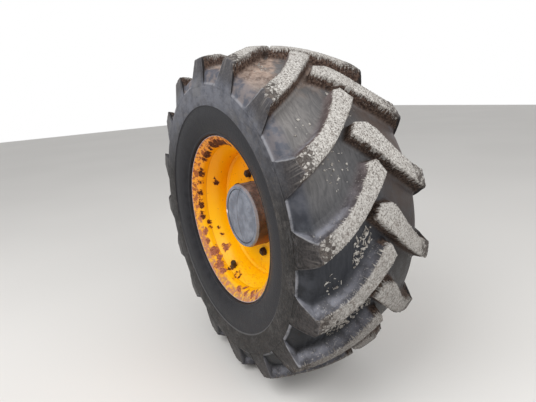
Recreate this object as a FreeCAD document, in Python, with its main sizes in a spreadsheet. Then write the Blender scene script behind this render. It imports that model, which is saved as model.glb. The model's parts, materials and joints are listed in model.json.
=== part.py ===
import FreeCAD
import Part
import Sketcher
import math
import os
from types import SimpleNamespace

# Front wheel of a site dumper on the end of its axle.
# Millimetres. The wheel turns about the Y axis, its outer side faces -Y, +Z is up.
# The origin is the centre of the bolt face at the axle arm's inner end.

# Driving dimensions: cell name, value, meaning.
SIZES = (
    ("wheel_offset", 360, "bolt face of the arm to the middle plane of the wheel"),
    ("seat_gap", 0.3, "gap between seated round pieces"),
    ("running_gap", 0.05, "radial gap of a shaft that turns in its bore"),
    ("tyre_radius", 538, "tip radius of the lugs on the middle plane"),
    ("crown_drop", 25.5, "how much lower the lug tips are at the tread's edge"),
    ("lug_depth", 38, "height of the lugs on the middle plane"),
    ("lug_depth_edge", 38.5, "height of the lugs at the groove's end"),
    ("tread_inset", 15, "edge of the tread inside the widest point of the tyre"),
    ("groove_inset", 15, "end of the groove floor inside the tread's edge"),
    ("pocket_depth", 102, "lug tips to where a pocket between lugs runs out on the sidewall"),
    ("ring_inset", 64, "ring line on the sidewall inside the pockets' ends"),
    ("ring_step", 3, "step of the sidewall at the ring line"),
    ("sidewall_bulge", 40, "rim flange to the widest point of the tyre"),
    ("sidewall_thick", 24, "thickness of the sidewall"),
    ("crown_thick", 24, "thickness under the groove floor"),
    ("lug_count", 16, "lugs on each side of the tread"),
    ("lug_shift", 9.8, "angle from a near lug to the far lug below it"),
    ("lug_root", 4, "how far a lug's foot plane lies inside the pockets' ends"),
    ("lug_margin", 4, "how far a lug's outline lies over the tips before it is trimmed"),
    ("tyre_turn", 13.6, "angle of the tread's pattern at rest"),
    ("bead_width", 32, "width of a bead"),
    ("bead_height", 46, "height of a bead over its seat"),
    ("seat_radius", 254, "radius of the rim under the bead"),
    ("seat_length", 40, "width of the seat under a bead"),
    ("seat_fall", 3.5, "fall of the seat from its heel to its toe"),
    ("rim_half", 165, "middle plane to the inner face of a rim flange"),
    ("flange_height", 25, "height of a rim flange over the seat"),
    ("flange_flare", 20, "width over which a flange slopes up from the seat"),
    ("rim_wall", 8, "thickness of the rim"),
    ("well_depth", 31, "depth of the rim's well below the seat"),
    ("well_width", 88, "width of the well's floor"),
    ("well_slope", 29, "width of a slope beside the well"),
    ("disc_place", 48.5, "middle plane to the outer face of the disc"),
    ("disc_thick", 12, "thickness of the disc"),
    ("bore_gap", 1.5, "radial gap between the drum and the disc's centre bore"),
    ("weld_leg", 7, "leg of the weld between disc and rim"),
    ("stud_count", 8, "wheel studs"),
    ("stud_margin", 28.5, "stud circle outside the drum"),
    ("stud_radius", 9, "radius of a wheel stud"),
    ("stud_hole_gap", 1, "radial gap between a stud and its hole in the disc"),
    ("stud_turn", 14, "turn of the first stud from the top of the wheel"),
    ("stud_out", 34, "length of a stud outside the disc"),
    ("stud_head", 24, "distance across the flats of a stud's head"),
    ("stud_head_thick", 8, "thickness of a stud's head"),
    ("nut_flat", 27, "distance across a nut's flats"),
    ("nut_height", 24, "height of a nut"),
    ("hub_margin", 25.5, "edge of the hub's flange outside the stud circle"),
    ("hub_flange", 22, "thickness of the hub's flange"),
    ("hub_reach", 78, "middle plane to the hub's inner end"),
    ("barrel_gap", 6, "gap between the stud heads and the hub's barrel"),
    ("drum_radius", 109, "radius of the reduction drum"),
    ("drum_face", 113.7, "middle plane to the drum's outer face"),
    ("drum_chamfer", 4.5, "radial leg of the chamfer on the drum's edge"),
    ("drum_bevel", 9, "axial leg of the chamfer on the drum's edge"),
    ("drum_rim", 15, "width of the drum's end round its cover"),
    ("cover_thick", 7, "thickness of the end cover"),
    ("cover_sink", 1, "depth of the cover's face in the drum"),
    ("cover_bevel", 3, "bevel on the cover's edge"),
    ("spindle_radius", 55, "radius of the spindle that carries the hub"),
    ("spindle_sink", 5.5, "spindle's outer end inside the hub's outer face"),
    ("collar_step", 23, "height of the collar over the spindle"),
    ("shoulder_step", 6, "height of the arm's shoulder over the collar"),
    ("seal_height", 20, "height of the seal ring over the collar"),
    ("seal_thick", 14, "width of the seal ring"),
    ("seal_clear", 0.5, "gap between the seal ring and the hub"),
    ("neck_step", 6, "height of the hub's inner end over the seal ring"),
    ("waist_step", 10, "fall of the arm from its shoulder to its waist"),
    ("arm_flange_radius", 150, "radius of the arm's bolt flange"),
    ("arm_flange_thick", 24, "thickness of the arm's bolt flange"),
    ("arm_bolt_inset", 19, "bolt circle inside the edge of the arm's flange"),
    ("arm_bolt_radius", 7, "radius of a bolt hole in the arm's flange"),
    ("arm_bolt_count", 12, "bolt holes in the arm's flange"),
    ("rib_count", 6, "ribs behind the arm's flange"),
    ("rib_thick", 10, "thickness of a rib"),
    ("rib_reach", 46, "length of a rib along the arm"),
    ("rib_inset", 10, "outer end of a rib inside the flange's edge"),
    ("pad_rise", 34, "height of the chassis pad over the arm's waist"),
    ("pad_place", 85, "bolt face to the middle of the chassis pad"),
    ("pad_bolt_x", 116, "spacing of the pad's holes across the axle"),
    ("pad_bolt_y", 46, "spacing of the pad's holes along the axle"),
    ("pad_margin_x", 20, "edge of the pad outside its holes, across the axle"),
    ("pad_margin_y", 16, "edge of the pad outside its holes, along the axle"),
    ("pad_hole", 8.5, "radius of a hole in the pad"),
    ("pad_hole_depth", 34, "depth of a hole in the pad"),
    ("shaft_radius", 22, "radius of the half shaft"),
    ("shaft_sink", 6, "depth of the shaft's end in the bolt face"),
    ("shaft_room", 8, "gap between the shaft's splines and the arm's wider bore"),
    ("spline_step", 2, "tips of the splines below the shaft's surface"),
    ("spline_depth", 2.5, "depth of a spline groove"),
    ("spline_width", 3, "width of a spline groove"),
    ("spline_length", 46, "length of the splines"),
    ("spline_count", 16, "splines on the shaft"),
    ("valve_turn", -23, "turn of the valve from the bottom of the wheel"),
    ("valve_up_slope", 24, "height of the valve's middle on the rim's slope"),
    ("valve_radius", 5.5, "radius of the valve's stem"),
    ("valve_head", 9, "radius of the valve's head inside the rim"),
    ("valve_head_thick", 3, "thickness of the valve's head"),
    ("valve_rise", 20, "length of the valve's stem inside the wheel"),
    ("cap_radius", 7, "radius of the valve's cap"),
    ("cap_length", 15, "length of the valve's cap"),
    ("plug_flat", 24, "distance across a plug's flats"),
    ("plug_height", 9, "height of a plug's head"),
    ("plug_boss", 17, "radius of the boss under a plug"),
    ("boss_rise", 6, "height of a boss over the round face below it"),
    ("boss_root", 10, "depth of a boss below that face"),
    ("plug_turn", 126.5, "turn of the drum's plug from the top of the wheel"),
)

# Corners of a near lug: angle from its inner corner in degrees, distance across the tread as
# a share of the tread's half width, and how far the foot leans out for each unit of depth.
LUG_CORNERS = (
    (0.0, -0.19, 0.10, 0.12),
    (-7.7, 0.195, 0.16, 0.0),
    (-14.3, 0.59, 0.20, 0.0),
    (-21.0, 1.125, 0.22, 0.0),
    (-14.4, 1.125, -0.34, 0.0),
    (-9.4, 0.625, -0.30, 0.0),
    (3.5, 0.065, -0.14, 0.0),
    (4.0, -0.08, -0.12, 0.08),
)
# A far lug is its mirror image, with a shorter inner end.
FAR_CORNERS = (
    (-1.2, -0.15, 0.10, 0.12),
) + LUG_CORNERS[1:6] + (
    (1.9, 0.17, -0.14, 0.0),
    (2.2, -0.03, -0.12, 0.08),
)
LUG_MIDDLE = -8.0


class Size:
    """A number together with the expression that gives it from the sheet."""

    def __init__(self, value, text):
        self.value = float(value)
        self.text = text

    def __add__(self, other):
        other = as_size(other)
        return Size(self.value + other.value, "(%s + %s)" % (self.text, other.text))

    def __sub__(self, other):
        other = as_size(other)
        return Size(self.value - other.value, "(%s - %s)" % (self.text, other.text))

    def __mul__(self, other):
        other = as_size(other)
        return Size(self.value * other.value, "(%s * %s)" % (self.text, other.text))

    def __truediv__(self, other):
        other = as_size(other)
        return Size(self.value / other.value, "(%s / %s)" % (self.text, other.text))

    def __neg__(self):
        return Size(-self.value, "(0 - %s)" % self.text)

    def __radd__(self, other):
        return as_size(other) + self

    def __rsub__(self, other):
        return as_size(other) - self

    def __rmul__(self, other):
        return as_size(other) * self


def as_size(item):
    if isinstance(item, Size):
        return item
    return Size(item, "%.9f" % item)


document = FreeCAD.newDocument("DumperWheel")
sheet = document.addObject("Spreadsheet::Sheet", "Sizes")
sheet.set("A1", "size")
sheet.set("B1", "value")
sheet.set("C1", "meaning")
for row, (alias, value, meaning) in enumerate(SIZES, start=2):
    sheet.set("A%d" % row, alias)
    sheet.set("B%d" % row, str(value))
    sheet.setAlias("B%d" % row, alias)
    sheet.set("C%d" % row, meaning)
document.recompute()
dim = SimpleNamespace(**{alias: Size(value, "Sizes." + alias) for alias, value, meaning in SIZES})


# Helpers for bodies, sketches and features

def new_body(label, turn=None):
    """A body on the wheel's axis, turned about it by an angle counted from +X towards +Z."""
    body = document.addObject("PartDesign::Body", label)
    body.Label = label
    body.Placement.Rotation = FreeCAD.Rotation(FreeCAD.Vector(0, -1, 0), 0)
    if turn is not None:
        body.Placement.Rotation = FreeCAD.Rotation(FreeCAD.Vector(0, -1, 0), turn.value)
        body.setExpression("Placement.Rotation.Angle", turn.text)
    return body


def origin_item(body, role):
    for item in body.Origin.OriginFeatures:
        if item.Role == role:
            return item
    raise LookupError(role)


def new_sketch(body, name, role="YZ_Plane", lift=None):
    """A sketch on one of the body's own planes, lifted along the plane's normal."""
    sketch = body.newObject("Sketcher::SketchObject", name)
    sketch.AttachmentSupport = (origin_item(body, role), [""])
    sketch.MapMode = "FlatFace"
    if lift is not None:
        sketch.AttachmentOffset.Base = FreeCAD.Vector(0, 0, lift.value)
        sketch.setExpression("AttachmentOffset.Base.z", lift.text)
    return sketch


def bind(sketch, constraint, size):
    """Add a dimension to the sketch and tie it to the sheet."""
    index = sketch.addConstraint(constraint)
    sketch.setExpression("Constraints[%d]" % index, size.text)


def outline(sketch, corners):
    """Draw a closed outline of straight edges through (across, up) corners."""
    corners = [tuple(as_size(item) for item in corner) for corner in corners]
    points = [FreeCAD.Vector(across.value, up.value, 0) for across, up in corners]
    edges = []
    for number, start in enumerate(points):
        end = points[(number + 1) % len(points)]
        edges.append(sketch.addGeometry(Part.LineSegment(start, end), False))
    for number, edge in enumerate(edges):
        following = edges[(number + 1) % len(edges)]
        sketch.addConstraint(Sketcher.Constraint("Coincident", edge, 2, following, 1))
    for edge, (across, up) in zip(edges, corners):
        bind(sketch, Sketcher.Constraint("DistanceX", -1, 1, edge, 1, across.value), across)
        bind(sketch, Sketcher.Constraint("DistanceY", -1, 1, edge, 1, up.value), up)
    return sketch


def circle(sketch, across, up, radius):
    """Draw a circle whose centre and radius are tied to the sheet."""
    across = as_size(across)
    up = as_size(up)
    centre = FreeCAD.Vector(across.value, up.value, 0)
    shape = Part.Circle(centre, FreeCAD.Vector(0, 0, 1), radius.value)
    edge = sketch.addGeometry(shape, False)
    bind(sketch, Sketcher.Constraint("DistanceX", -1, 1, edge, 3, across.value), across)
    bind(sketch, Sketcher.Constraint("DistanceY", -1, 1, edge, 3, up.value), up)
    bind(sketch, Sketcher.Constraint("Radius", edge, radius.value), radius)
    return edge


def hexagon(sketch, across, up, flats):
    """Draw a hexagon of the given width across its flats, two of its corners on the X line."""
    corner = flats / math.sqrt(3)
    corners = []
    for step in range(6):
        angle = math.radians(60 * step)
        corners.append((across + corner * math.cos(angle), up + corner * math.sin(angle)))
    return outline(sketch, corners)


def revolve(body, name, corners, remove=False):
    """Turn an outline of (axial, radial) corners about the wheel's axis."""
    sketch = outline(new_sketch(body, name + "_outline"), corners)
    kind = "PartDesign::Groove" if remove else "PartDesign::Revolution"
    feature = body.newObject(kind, name)
    feature.Profile = sketch
    feature.ReferenceAxis = (sketch, ["H_Axis"])
    feature.Angle = 360
    return feature


def extrude(body, name, sketch, length, remove=False, reverse=False):
    kind = "PartDesign::Pocket" if remove else "PartDesign::Pad"
    feature = body.newObject(kind, name)
    feature.Profile = sketch
    feature.Type = 0
    feature.Length = length.value
    feature.setExpression("Length", length.text)
    feature.Reversed = reverse
    return feature


def drill(body, name, sketch, length):
    """Cut an outline through, half of the length to each side of its plane."""
    feature = extrude(body, name, sketch, length, remove=True)
    feature.Midplane = True
    return feature


def box_corners(across, up, width, height):
    """Corners of a rectangle about its centre."""
    half_width = width / 2
    half_height = height / 2
    return [
        (across - half_width, up - half_height),
        (across + half_width, up - half_height),
        (across + half_width, up + half_height),
        (across - half_width, up + half_height),
    ]


def pattern(body, name, features, count):
    """Repeat features round the wheel's axis and make the result the body's tip."""
    document.recompute()
    feature = body.newObject("PartDesign::PolarPattern", name)
    feature.Originals = features
    feature.Axis = (origin_item(body, "Y_Axis"), [""])
    feature.Angle = 360
    feature.Occurrences = int(count.value)
    feature.setExpression("Occurrences", count.text)
    body.Tip = feature
    return feature


def axial(distance):
    """Place along Y of a distance from the wheel's middle plane, outwards negative."""
    return distance - dim.wheel_offset


# Places and radii that several pieces share

flange_radius = dim.seat_radius + dim.flange_height
seat_toe = dim.seat_radius - dim.seat_fall
well_radius = dim.seat_radius - dim.well_depth
well_inside = well_radius - dim.rim_wall
well_near = dim.rim_half - dim.seat_length - dim.well_slope
well_far = well_near - dim.well_width
slope_end = well_far - dim.well_slope
section_half = dim.rim_half + dim.sidewall_bulge
tread_half = section_half - dim.tread_inset
groove_half = tread_half - dim.groove_inset
groove_radius = dim.tyre_radius - dim.lug_depth
groove_edge_radius = dim.tyre_radius - dim.crown_drop - dim.lug_depth_edge
pocket_radius = dim.tyre_radius - dim.pocket_depth
ring_radius = pocket_radius - dim.ring_inset
disc_outer = axial(-dim.disc_place)
disc_inner = disc_outer + dim.disc_thick
disc_bore = dim.drum_radius + dim.bore_gap
disc_edge = well_inside - dim.seat_gap
hub_outer = disc_inner
hub_back = hub_outer + dim.hub_flange
hub_inner = axial(dim.hub_reach)
stud_circle = dim.drum_radius + dim.stud_margin
hub_radius = stud_circle + dim.hub_margin
hub_barrel = stud_circle - dim.stud_head / math.sqrt(3) - dim.barrel_gap
collar_radius = dim.spindle_radius + dim.collar_step
shoulder_radius = collar_radius + dim.shoulder_step
waist_radius = shoulder_radius - dim.waist_step
seal_radius = collar_radius + dim.seal_height
hub_neck = seal_radius + dim.neck_step
drum_outer = axial(-dim.drum_face)
cover_radius = dim.drum_radius - dim.drum_rim
plug_place = (drum_outer + disc_outer) / 2
collar_outer = hub_inner + dim.seal_clear
shoulder = collar_outer + dim.seal_thick + dim.seat_gap
spindle_outer = hub_outer + dim.spindle_sink
flange_back = -dim.arm_flange_thick
pad_height = waist_radius + dim.pad_rise
pad_width = dim.pad_bolt_x + dim.pad_margin_x * 2
pad_length = dim.pad_bolt_y + dim.pad_margin_y * 2
shaft_hole = dim.shaft_radius + dim.running_gap
spline_radius = dim.shaft_radius - dim.spline_step
spline_bore = spline_radius + dim.shaft_room + dim.spline_step
spline_end = -(dim.shaft_sink + dim.spline_length)
bore_end = spline_end - dim.shaft_room
valve_wall = well_radius + dim.valve_up_slope
valve_place = axial(-(well_near + dim.valve_up_slope))
valve_head_place = -(valve_wall + dim.valve_head + dim.valve_head_thick)
valve_cap_place = -(valve_wall - dim.rim_wall * 1.4 - dim.valve_rise)


def mirrored(half):
    """Both halves of an outline from the corners of its +Y half, given from +Y inwards."""
    far = [(axial(across), up) for across, up in half]
    near = [(axial(-across), up) for across, up in reversed(half)]
    return far + near


# Tyre

def lug(body, name, side, shift, plan):
    """One lug as a loft from an outline over the tread down to a wider one at its foot."""
    top = dim.tyre_radius + dim.lug_margin
    foot = pocket_radius - dim.lug_root
    turn = math.radians(shift.value)
    sketches = []
    for suffix, level in (("top", top), ("foot", foot)):
        sketch = new_sketch(body, "%s_%s" % (name, suffix), "XY_Plane")
        sketch.AttachmentOffset.Rotation = FreeCAD.Rotation(FreeCAD.Vector(0, 1, 0), shift.value)
        lift_x = level * math.sin(turn)
        lift_z = level * math.cos(turn)
        sketch.AttachmentOffset.Base = FreeCAD.Vector(lift_x.value, 0, lift_z.value)
        sketch.setExpression("AttachmentOffset.Base.x", lift_x.text)
        sketch.setExpression("AttachmentOffset.Base.z", lift_z.text)
        depth = top - level
        corners = []
        for angle, share, lean_x, lean_y in plan:
            along = dim.tyre_radius * -math.sin(math.radians(angle - LUG_MIDDLE))
            along = along + depth * lean_x
            across = tread_half * share - depth * lean_y
            corners.append((along, axial(across * side)))
        sketches.append(outline(sketch, corners))
    loft = body.newObject("PartDesign::AdditiveLoft", name)
    loft.Profile = sketches[0]
    loft.Sections = [sketches[1]]
    loft.Ruled = True
    return loft


def crowned(half, radius, drop, shares):
    """Corners of a face that is level in the middle and falls to its +Y edge, edge first."""
    level = shares[-1] ** 2
    corners = []
    for share in shares:
        fall = (share ** 2 - level) / (1 - level)
        corners.append((half * share, radius - drop * fall))
    return corners


def make_tyre():
    """Hollow carcass with a slanted row of lugs on each side, trimmed to the crown."""
    body = new_body("tyre", dim.tyre_turn)
    rows = (("near_lug", -1, as_size(0), LUG_CORNERS), ("far_lug", 1, dim.lug_shift, FAR_CORNERS))
    for name, side, shift, plan in rows:
        first = lug(body, name, side, shift, plan)
        pattern(body, name + "s", [first], dim.lug_count)
    trim_half = section_half + dim.sidewall_bulge
    trim_radius = dim.tyre_radius + dim.lug_depth
    outside = mirrored([
        (trim_half, trim_radius),
        (trim_half, pocket_radius - dim.lug_root * 2),
        (section_half + dim.seat_gap, pocket_radius - dim.lug_root * 2),
    ] + crowned(tread_half, dim.tyre_radius, dim.crown_drop, (1, 0.5)))
    revolve(body, "crown", outside, remove=True)
    seat = dim.seat_radius + dim.seat_gap
    bead = dim.rim_half - dim.seat_gap
    floor_drop = groove_radius - groove_edge_radius
    skin = mirrored([
        (bead - dim.flange_flare, seat),
        (bead, flange_radius),
        (section_half - dim.ring_step, flange_radius + dim.flange_height),
        (section_half - dim.ring_step, ring_radius),
        (section_half, ring_radius),
        (section_half, pocket_radius),
    ] + crowned(groove_half, groove_radius, floor_drop, (1, 0.6)))
    revolve(body, "carcass", skin)
    hollow = mirrored([
        (bead - dim.bead_width, seat - dim.seat_fall),
        (bead - dim.bead_width, seat + dim.bead_height),
        (section_half - dim.sidewall_thick, seat + dim.bead_height),
        (section_half - dim.sidewall_thick, groove_edge_radius - dim.crown_thick),
    ])
    revolve(body, "cavity", hollow, remove=True)
    return body


# Rim, disc and valve

def make_rim():
    """Drop centre rim, its well nearer to the outer side, with a hole for the valve."""
    body = new_body("rim", dim.valve_turn)
    half = dim.rim_half
    wall = dim.rim_wall
    flare = dim.flange_flare
    flare_inside = flare * (dim.flange_height + wall) / dim.flange_height - wall
    revolve(body, "barrel", [
        (axial(-half), flange_radius),
        (axial(-half) + flare, dim.seat_radius),
        (axial(-half) + dim.seat_length, seat_toe),
        (axial(-well_near), well_radius),
        (axial(-well_far), well_radius),
        (axial(-slope_end), seat_toe),
        (axial(half) - dim.seat_length, seat_toe),
        (axial(half) - flare, dim.seat_radius),
        (axial(half), flange_radius),
        (axial(half) + wall, flange_radius),
        (axial(half) - flare_inside, dim.seat_radius - wall),
        (axial(half) - dim.seat_length, seat_toe - wall),
        (axial(-slope_end) + wall * 0.4, seat_toe - wall),
        (axial(-well_far) + wall * 0.4, well_inside),
        (axial(-well_near) - wall * 0.4, well_inside),
        (axial(-half) + dim.seat_length - wall * 0.4, seat_toe - wall),
        (axial(-half) + flare_inside, dim.seat_radius - wall),
        (axial(-half) - wall, flange_radius),
    ])
    hole = new_sketch(body, "valve_hole_outline", "XY_Plane", -valve_wall)
    circle(hole, 0, valve_place, dim.valve_radius + dim.seat_gap)
    drill(body, "valve_hole", hole, wall * 8)
    return body


def make_disc():
    """Flat wheel disc with its centre bore, stud holes and the weld that holds it in the rim."""
    body = new_body("wheel_disc", dim.stud_turn)
    revolve(body, "plate", [
        (disc_outer, disc_bore),
        (disc_inner, disc_bore),
        (disc_inner, disc_edge - dim.weld_leg),
        (disc_inner + dim.weld_leg, disc_edge),
        (disc_outer - dim.weld_leg, disc_edge),
        (disc_outer, disc_edge - dim.weld_leg),
    ])
    hole = new_sketch(body, "stud_hole_outline", "XZ_Plane", -disc_outer)
    circle(hole, 0, stud_circle, dim.stud_radius + dim.stud_hole_gap)
    pattern(body, "stud_holes", [drill(body, "stud_hole", hole, dim.disc_thick * 4)], dim.stud_count)
    return body


def make_valve_stem():
    """Straight valve: a head inside the rim's wall and a stem towards the axle."""
    body = new_body("valve_stem", dim.valve_turn)
    head = new_sketch(body, "head_outline", "XY_Plane", valve_head_place)
    circle(head, 0, valve_place, dim.valve_head)
    extrude(body, "head", head, dim.valve_head_thick)
    stem = new_sketch(body, "stem_outline", "XY_Plane", valve_head_place)
    circle(stem, 0, valve_place, dim.valve_radius)
    extrude(body, "stem", stem, valve_cap_place - valve_head_place)
    return body


def make_valve_cap():
    body = new_body("valve_cap", dim.valve_turn)
    cap = new_sketch(body, "cap_outline", "XY_Plane", valve_cap_place)
    circle(cap, 0, valve_place, dim.cap_radius)
    extrude(body, "cap", cap, dim.cap_length)
    return body


# Hub, drum, cover and wheel bolts

def make_hub():
    """Hub with a flange for the wheel, a tapered barrel and a bore that runs on the spindle."""
    body = new_body("hub", dim.stud_turn)
    bore = dim.spindle_radius + dim.running_gap
    revolve(body, "casting", [
        (hub_outer, bore),
        (hub_outer, hub_radius),
        (hub_back, hub_radius),
        (hub_back, hub_barrel),
        (hub_inner - dim.seal_thick * 2, hub_barrel),
        (hub_inner - dim.seal_thick, hub_neck),
        (hub_inner, hub_neck),
        (hub_inner, bore),
    ])
    hole = new_sketch(body, "stud_hole_outline", "XZ_Plane", -hub_outer)
    circle(hole, 0, stud_circle, dim.stud_radius + dim.seat_gap)
    first = drill(body, "stud_hole", hole, dim.hub_flange * 3)
    pattern(body, "stud_holes", [first], dim.stud_count)
    return body


def make_drum():
    """Drum of the hub reduction, through the disc's bore, with a recess for its cover."""
    body = new_body("hub_drum", dim.plug_turn)
    recess = drum_outer + dim.cover_sink + dim.cover_thick
    revolve(body, "housing", [
        (hub_outer, 0),
        (hub_outer, dim.drum_radius),
        (drum_outer + dim.drum_bevel, dim.drum_radius),
        (drum_outer, dim.drum_radius - dim.drum_chamfer),
        (drum_outer, cover_radius),
        (recess, cover_radius),
        (recess, 0),
    ])
    boss = new_sketch(body, "boss_outline", "XY_Plane", dim.drum_radius - dim.boss_root)
    circle(boss, 0, plug_place, dim.plug_boss)
    extrude(body, "boss", boss, dim.boss_root + dim.boss_rise)
    return body


def make_drum_plug():
    body = new_body("drum_plug", dim.plug_turn)
    head = new_sketch(body, "head_outline", "XY_Plane", dim.drum_radius + dim.boss_rise)
    hexagon(head, 0, plug_place, dim.plug_flat)
    extrude(body, "head", head, dim.plug_height)
    return body


def make_cover():
    """End cover, let into the drum, with a bevelled edge."""
    body = new_body("hub_cover")
    edge = cover_radius - dim.seat_gap
    face = drum_outer + dim.cover_sink
    revolve(body, "plate", [
        (face, 0),
        (face, edge - dim.cover_bevel),
        (face + dim.cover_bevel, edge),
        (face + dim.cover_thick, edge),
        (face + dim.cover_thick, 0),
    ])
    return body


def make_studs():
    """Wheel studs, pressed in from behind the hub's flange."""
    body = new_body("wheel_studs", dim.stud_turn)
    back = hub_back + dim.stud_head_thick
    head = new_sketch(body, "head_outline", "XZ_Plane", -back)
    hexagon(head, 0, stud_circle, dim.stud_head)
    first = extrude(body, "head", head, dim.stud_head_thick)
    shank = new_sketch(body, "shank_outline", "XZ_Plane", -back)
    circle(shank, 0, stud_circle, dim.stud_radius)
    second = extrude(body, "shank", shank, back - disc_outer + dim.stud_out)
    pattern(body, "studs", [first, second], dim.stud_count)
    return body


def make_nuts():
    """Wheel nuts that bear on the disc."""
    body = new_body("wheel_nuts", dim.stud_turn)
    flats = new_sketch(body, "flats_outline", "XZ_Plane", -disc_outer)
    hexagon(flats, 0, stud_circle, dim.nut_flat)
    circle(flats, 0, stud_circle, dim.stud_radius + dim.seat_gap)
    pattern(body, "nuts", [extrude(body, "flats", flats, dim.nut_height)], dim.stud_count)
    return body


# Axle arm, seal and half shaft

def make_arm():
    """Cast axle arm: bolt flange with ribs, chassis pad, tapered tube, collar and spindle."""
    body = new_body("axle_arm")
    revolve(body, "casting", [
        (0, spline_bore),
        (0, dim.arm_flange_radius),
        (flange_back, dim.arm_flange_radius),
        (flange_back, waist_radius),
        (-dim.pad_place - pad_length / 2, waist_radius),
        (shoulder + dim.waist_step * 6, shoulder_radius),
        (shoulder, shoulder_radius),
        (shoulder, collar_radius),
        (collar_outer, collar_radius),
        (collar_outer, dim.spindle_radius),
        (spindle_outer, dim.spindle_radius),
        (spindle_outer, shaft_hole),
        (bore_end, shaft_hole),
        (bore_end, spline_bore),
    ])
    rib = new_sketch(body, "rib_outline", "XY_Plane", -dim.rib_thick / 2)
    outline(rib, [
        (waist_radius - dim.boss_root, flange_back),
        (dim.arm_flange_radius - dim.rib_inset, flange_back),
        (waist_radius - dim.boss_root, flange_back - dim.rib_reach),
    ])
    pattern(body, "ribs", [extrude(body, "rib", rib, dim.rib_thick)], dim.rib_count)
    root = waist_radius * 0.6
    pad = new_sketch(body, "pad_outline", "XY_Plane", root)
    outline(pad, box_corners(0, -dim.pad_place, pad_width, pad_length))
    extrude(body, "pad", pad, pad_height - root)
    boss = new_sketch(body, "boss_outline", "XY_Plane", -(waist_radius + dim.boss_rise))
    circle(boss, 0, -dim.pad_place, dim.plug_boss)
    extrude(body, "boss", boss, dim.boss_root + dim.boss_rise)
    holes = new_sketch(body, "pad_holes_outline", "XY_Plane", pad_height)
    for side_x in (-0.5, 0.5):
        for side_y in (-0.5, 0.5):
            circle(holes, dim.pad_bolt_x * side_x, dim.pad_bolt_y * side_y - dim.pad_place, dim.pad_hole)
    drill(body, "pad_holes", holes, dim.pad_hole_depth * 2)
    hole = new_sketch(body, "bolt_hole_outline", "XZ_Plane")
    circle(hole, 0, dim.arm_flange_radius - dim.arm_bolt_inset, dim.arm_bolt_radius)
    first = drill(body, "bolt_hole", hole, dim.arm_flange_thick * 3)
    pattern(body, "bolt_holes", [first], dim.arm_bolt_count)
    return body


def make_arm_plug():
    """Drain plug in the boss below the arm."""
    body = new_body("arm_plug")
    seat = waist_radius + dim.boss_rise
    head = new_sketch(body, "head_outline", "XY_Plane", -(seat + dim.plug_height))
    hexagon(head, 0, -dim.pad_place, dim.plug_flat)
    extrude(body, "head", head, dim.plug_height)
    return body


def make_seal():
    """Seal ring on the arm's collar, just behind the hub."""
    body = new_body("seal_ring")
    inside = collar_radius + dim.seat_gap
    revolve(body, "ring", [
        (collar_outer, inside),
        (collar_outer, seal_radius),
        (collar_outer + dim.seal_thick, seal_radius),
        (collar_outer + dim.seal_thick, inside),
    ])
    return body


def make_half_shaft():
    """Shaft that drives the hub's reduction, with splines at its inner end."""
    body = new_body("half_shaft")
    end = -dim.shaft_sink
    revolve(body, "bar", [
        (end, 0),
        (end, spline_radius),
        (spline_end, spline_radius),
        (spline_end, dim.shaft_radius),
        (spindle_outer, dim.shaft_radius),
        (spindle_outer, 0),
    ])
    slot = new_sketch(body, "spline_outline", "XZ_Plane", dim.shaft_sink)
    outline(slot, box_corners(0, spline_radius, dim.spline_width, dim.spline_depth * 2))
    first = drill(body, "spline", slot, dim.spline_length * 2)
    pattern(body, "splines", [first], dim.spline_count)
    return body


# Build, check and write

sub_parts = [
    make_arm(),
    make_arm_plug(),
    make_seal(),
    make_half_shaft(),
    make_tyre(),
    make_rim(),
    make_valve_stem(),
    make_valve_cap(),
    make_disc(),
    make_hub(),
    make_drum(),
    make_drum_plug(),
    make_cover(),
    make_studs(),
    make_nuts(),
]
document.recompute()
for item in document.Objects:
    if "Invalid" in item.State or "Error" in item.State:
        raise RuntimeError("%s failed: %s" % (item.Label, item.State))
for body in sub_parts:
    shape = body.Shape
    if shape.isNull() or not shape.isValid() or not shape.Solids:
        raise RuntimeError("%s has no valid solid" % body.Label)
os.makedirs("parts", exist_ok=True)
for body in sub_parts:
    body.Shape.exportStep("parts/%s.step" % body.Label)
    print("%-12s %2d solids %9.0f mm3" % (body.Label, len(body.Shape.Solids), body.Shape.Volume))
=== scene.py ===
# %% [markdown]
# # The front wheel of a site dumper
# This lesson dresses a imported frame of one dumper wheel: a lugged tyre on a painted drop centre
# rim, a flat wheel disc, a hub with its reduction drum, and the axle arm that carries them all.
# The frame comes in at its true place and size, in metres. The wheel turns about the Y axis, its
# outer side faces -Y, and +Z is up. Nothing below moves a piece of the frame: a piece is either
# given a finish, or a finer mesh is made in the same place and stands for it.

# %% Load the frame
import json
import math
from types import SimpleNamespace

import bmesh
import bpy
import numpy as np
from mathutils import Matrix, Vector, noise


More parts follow.
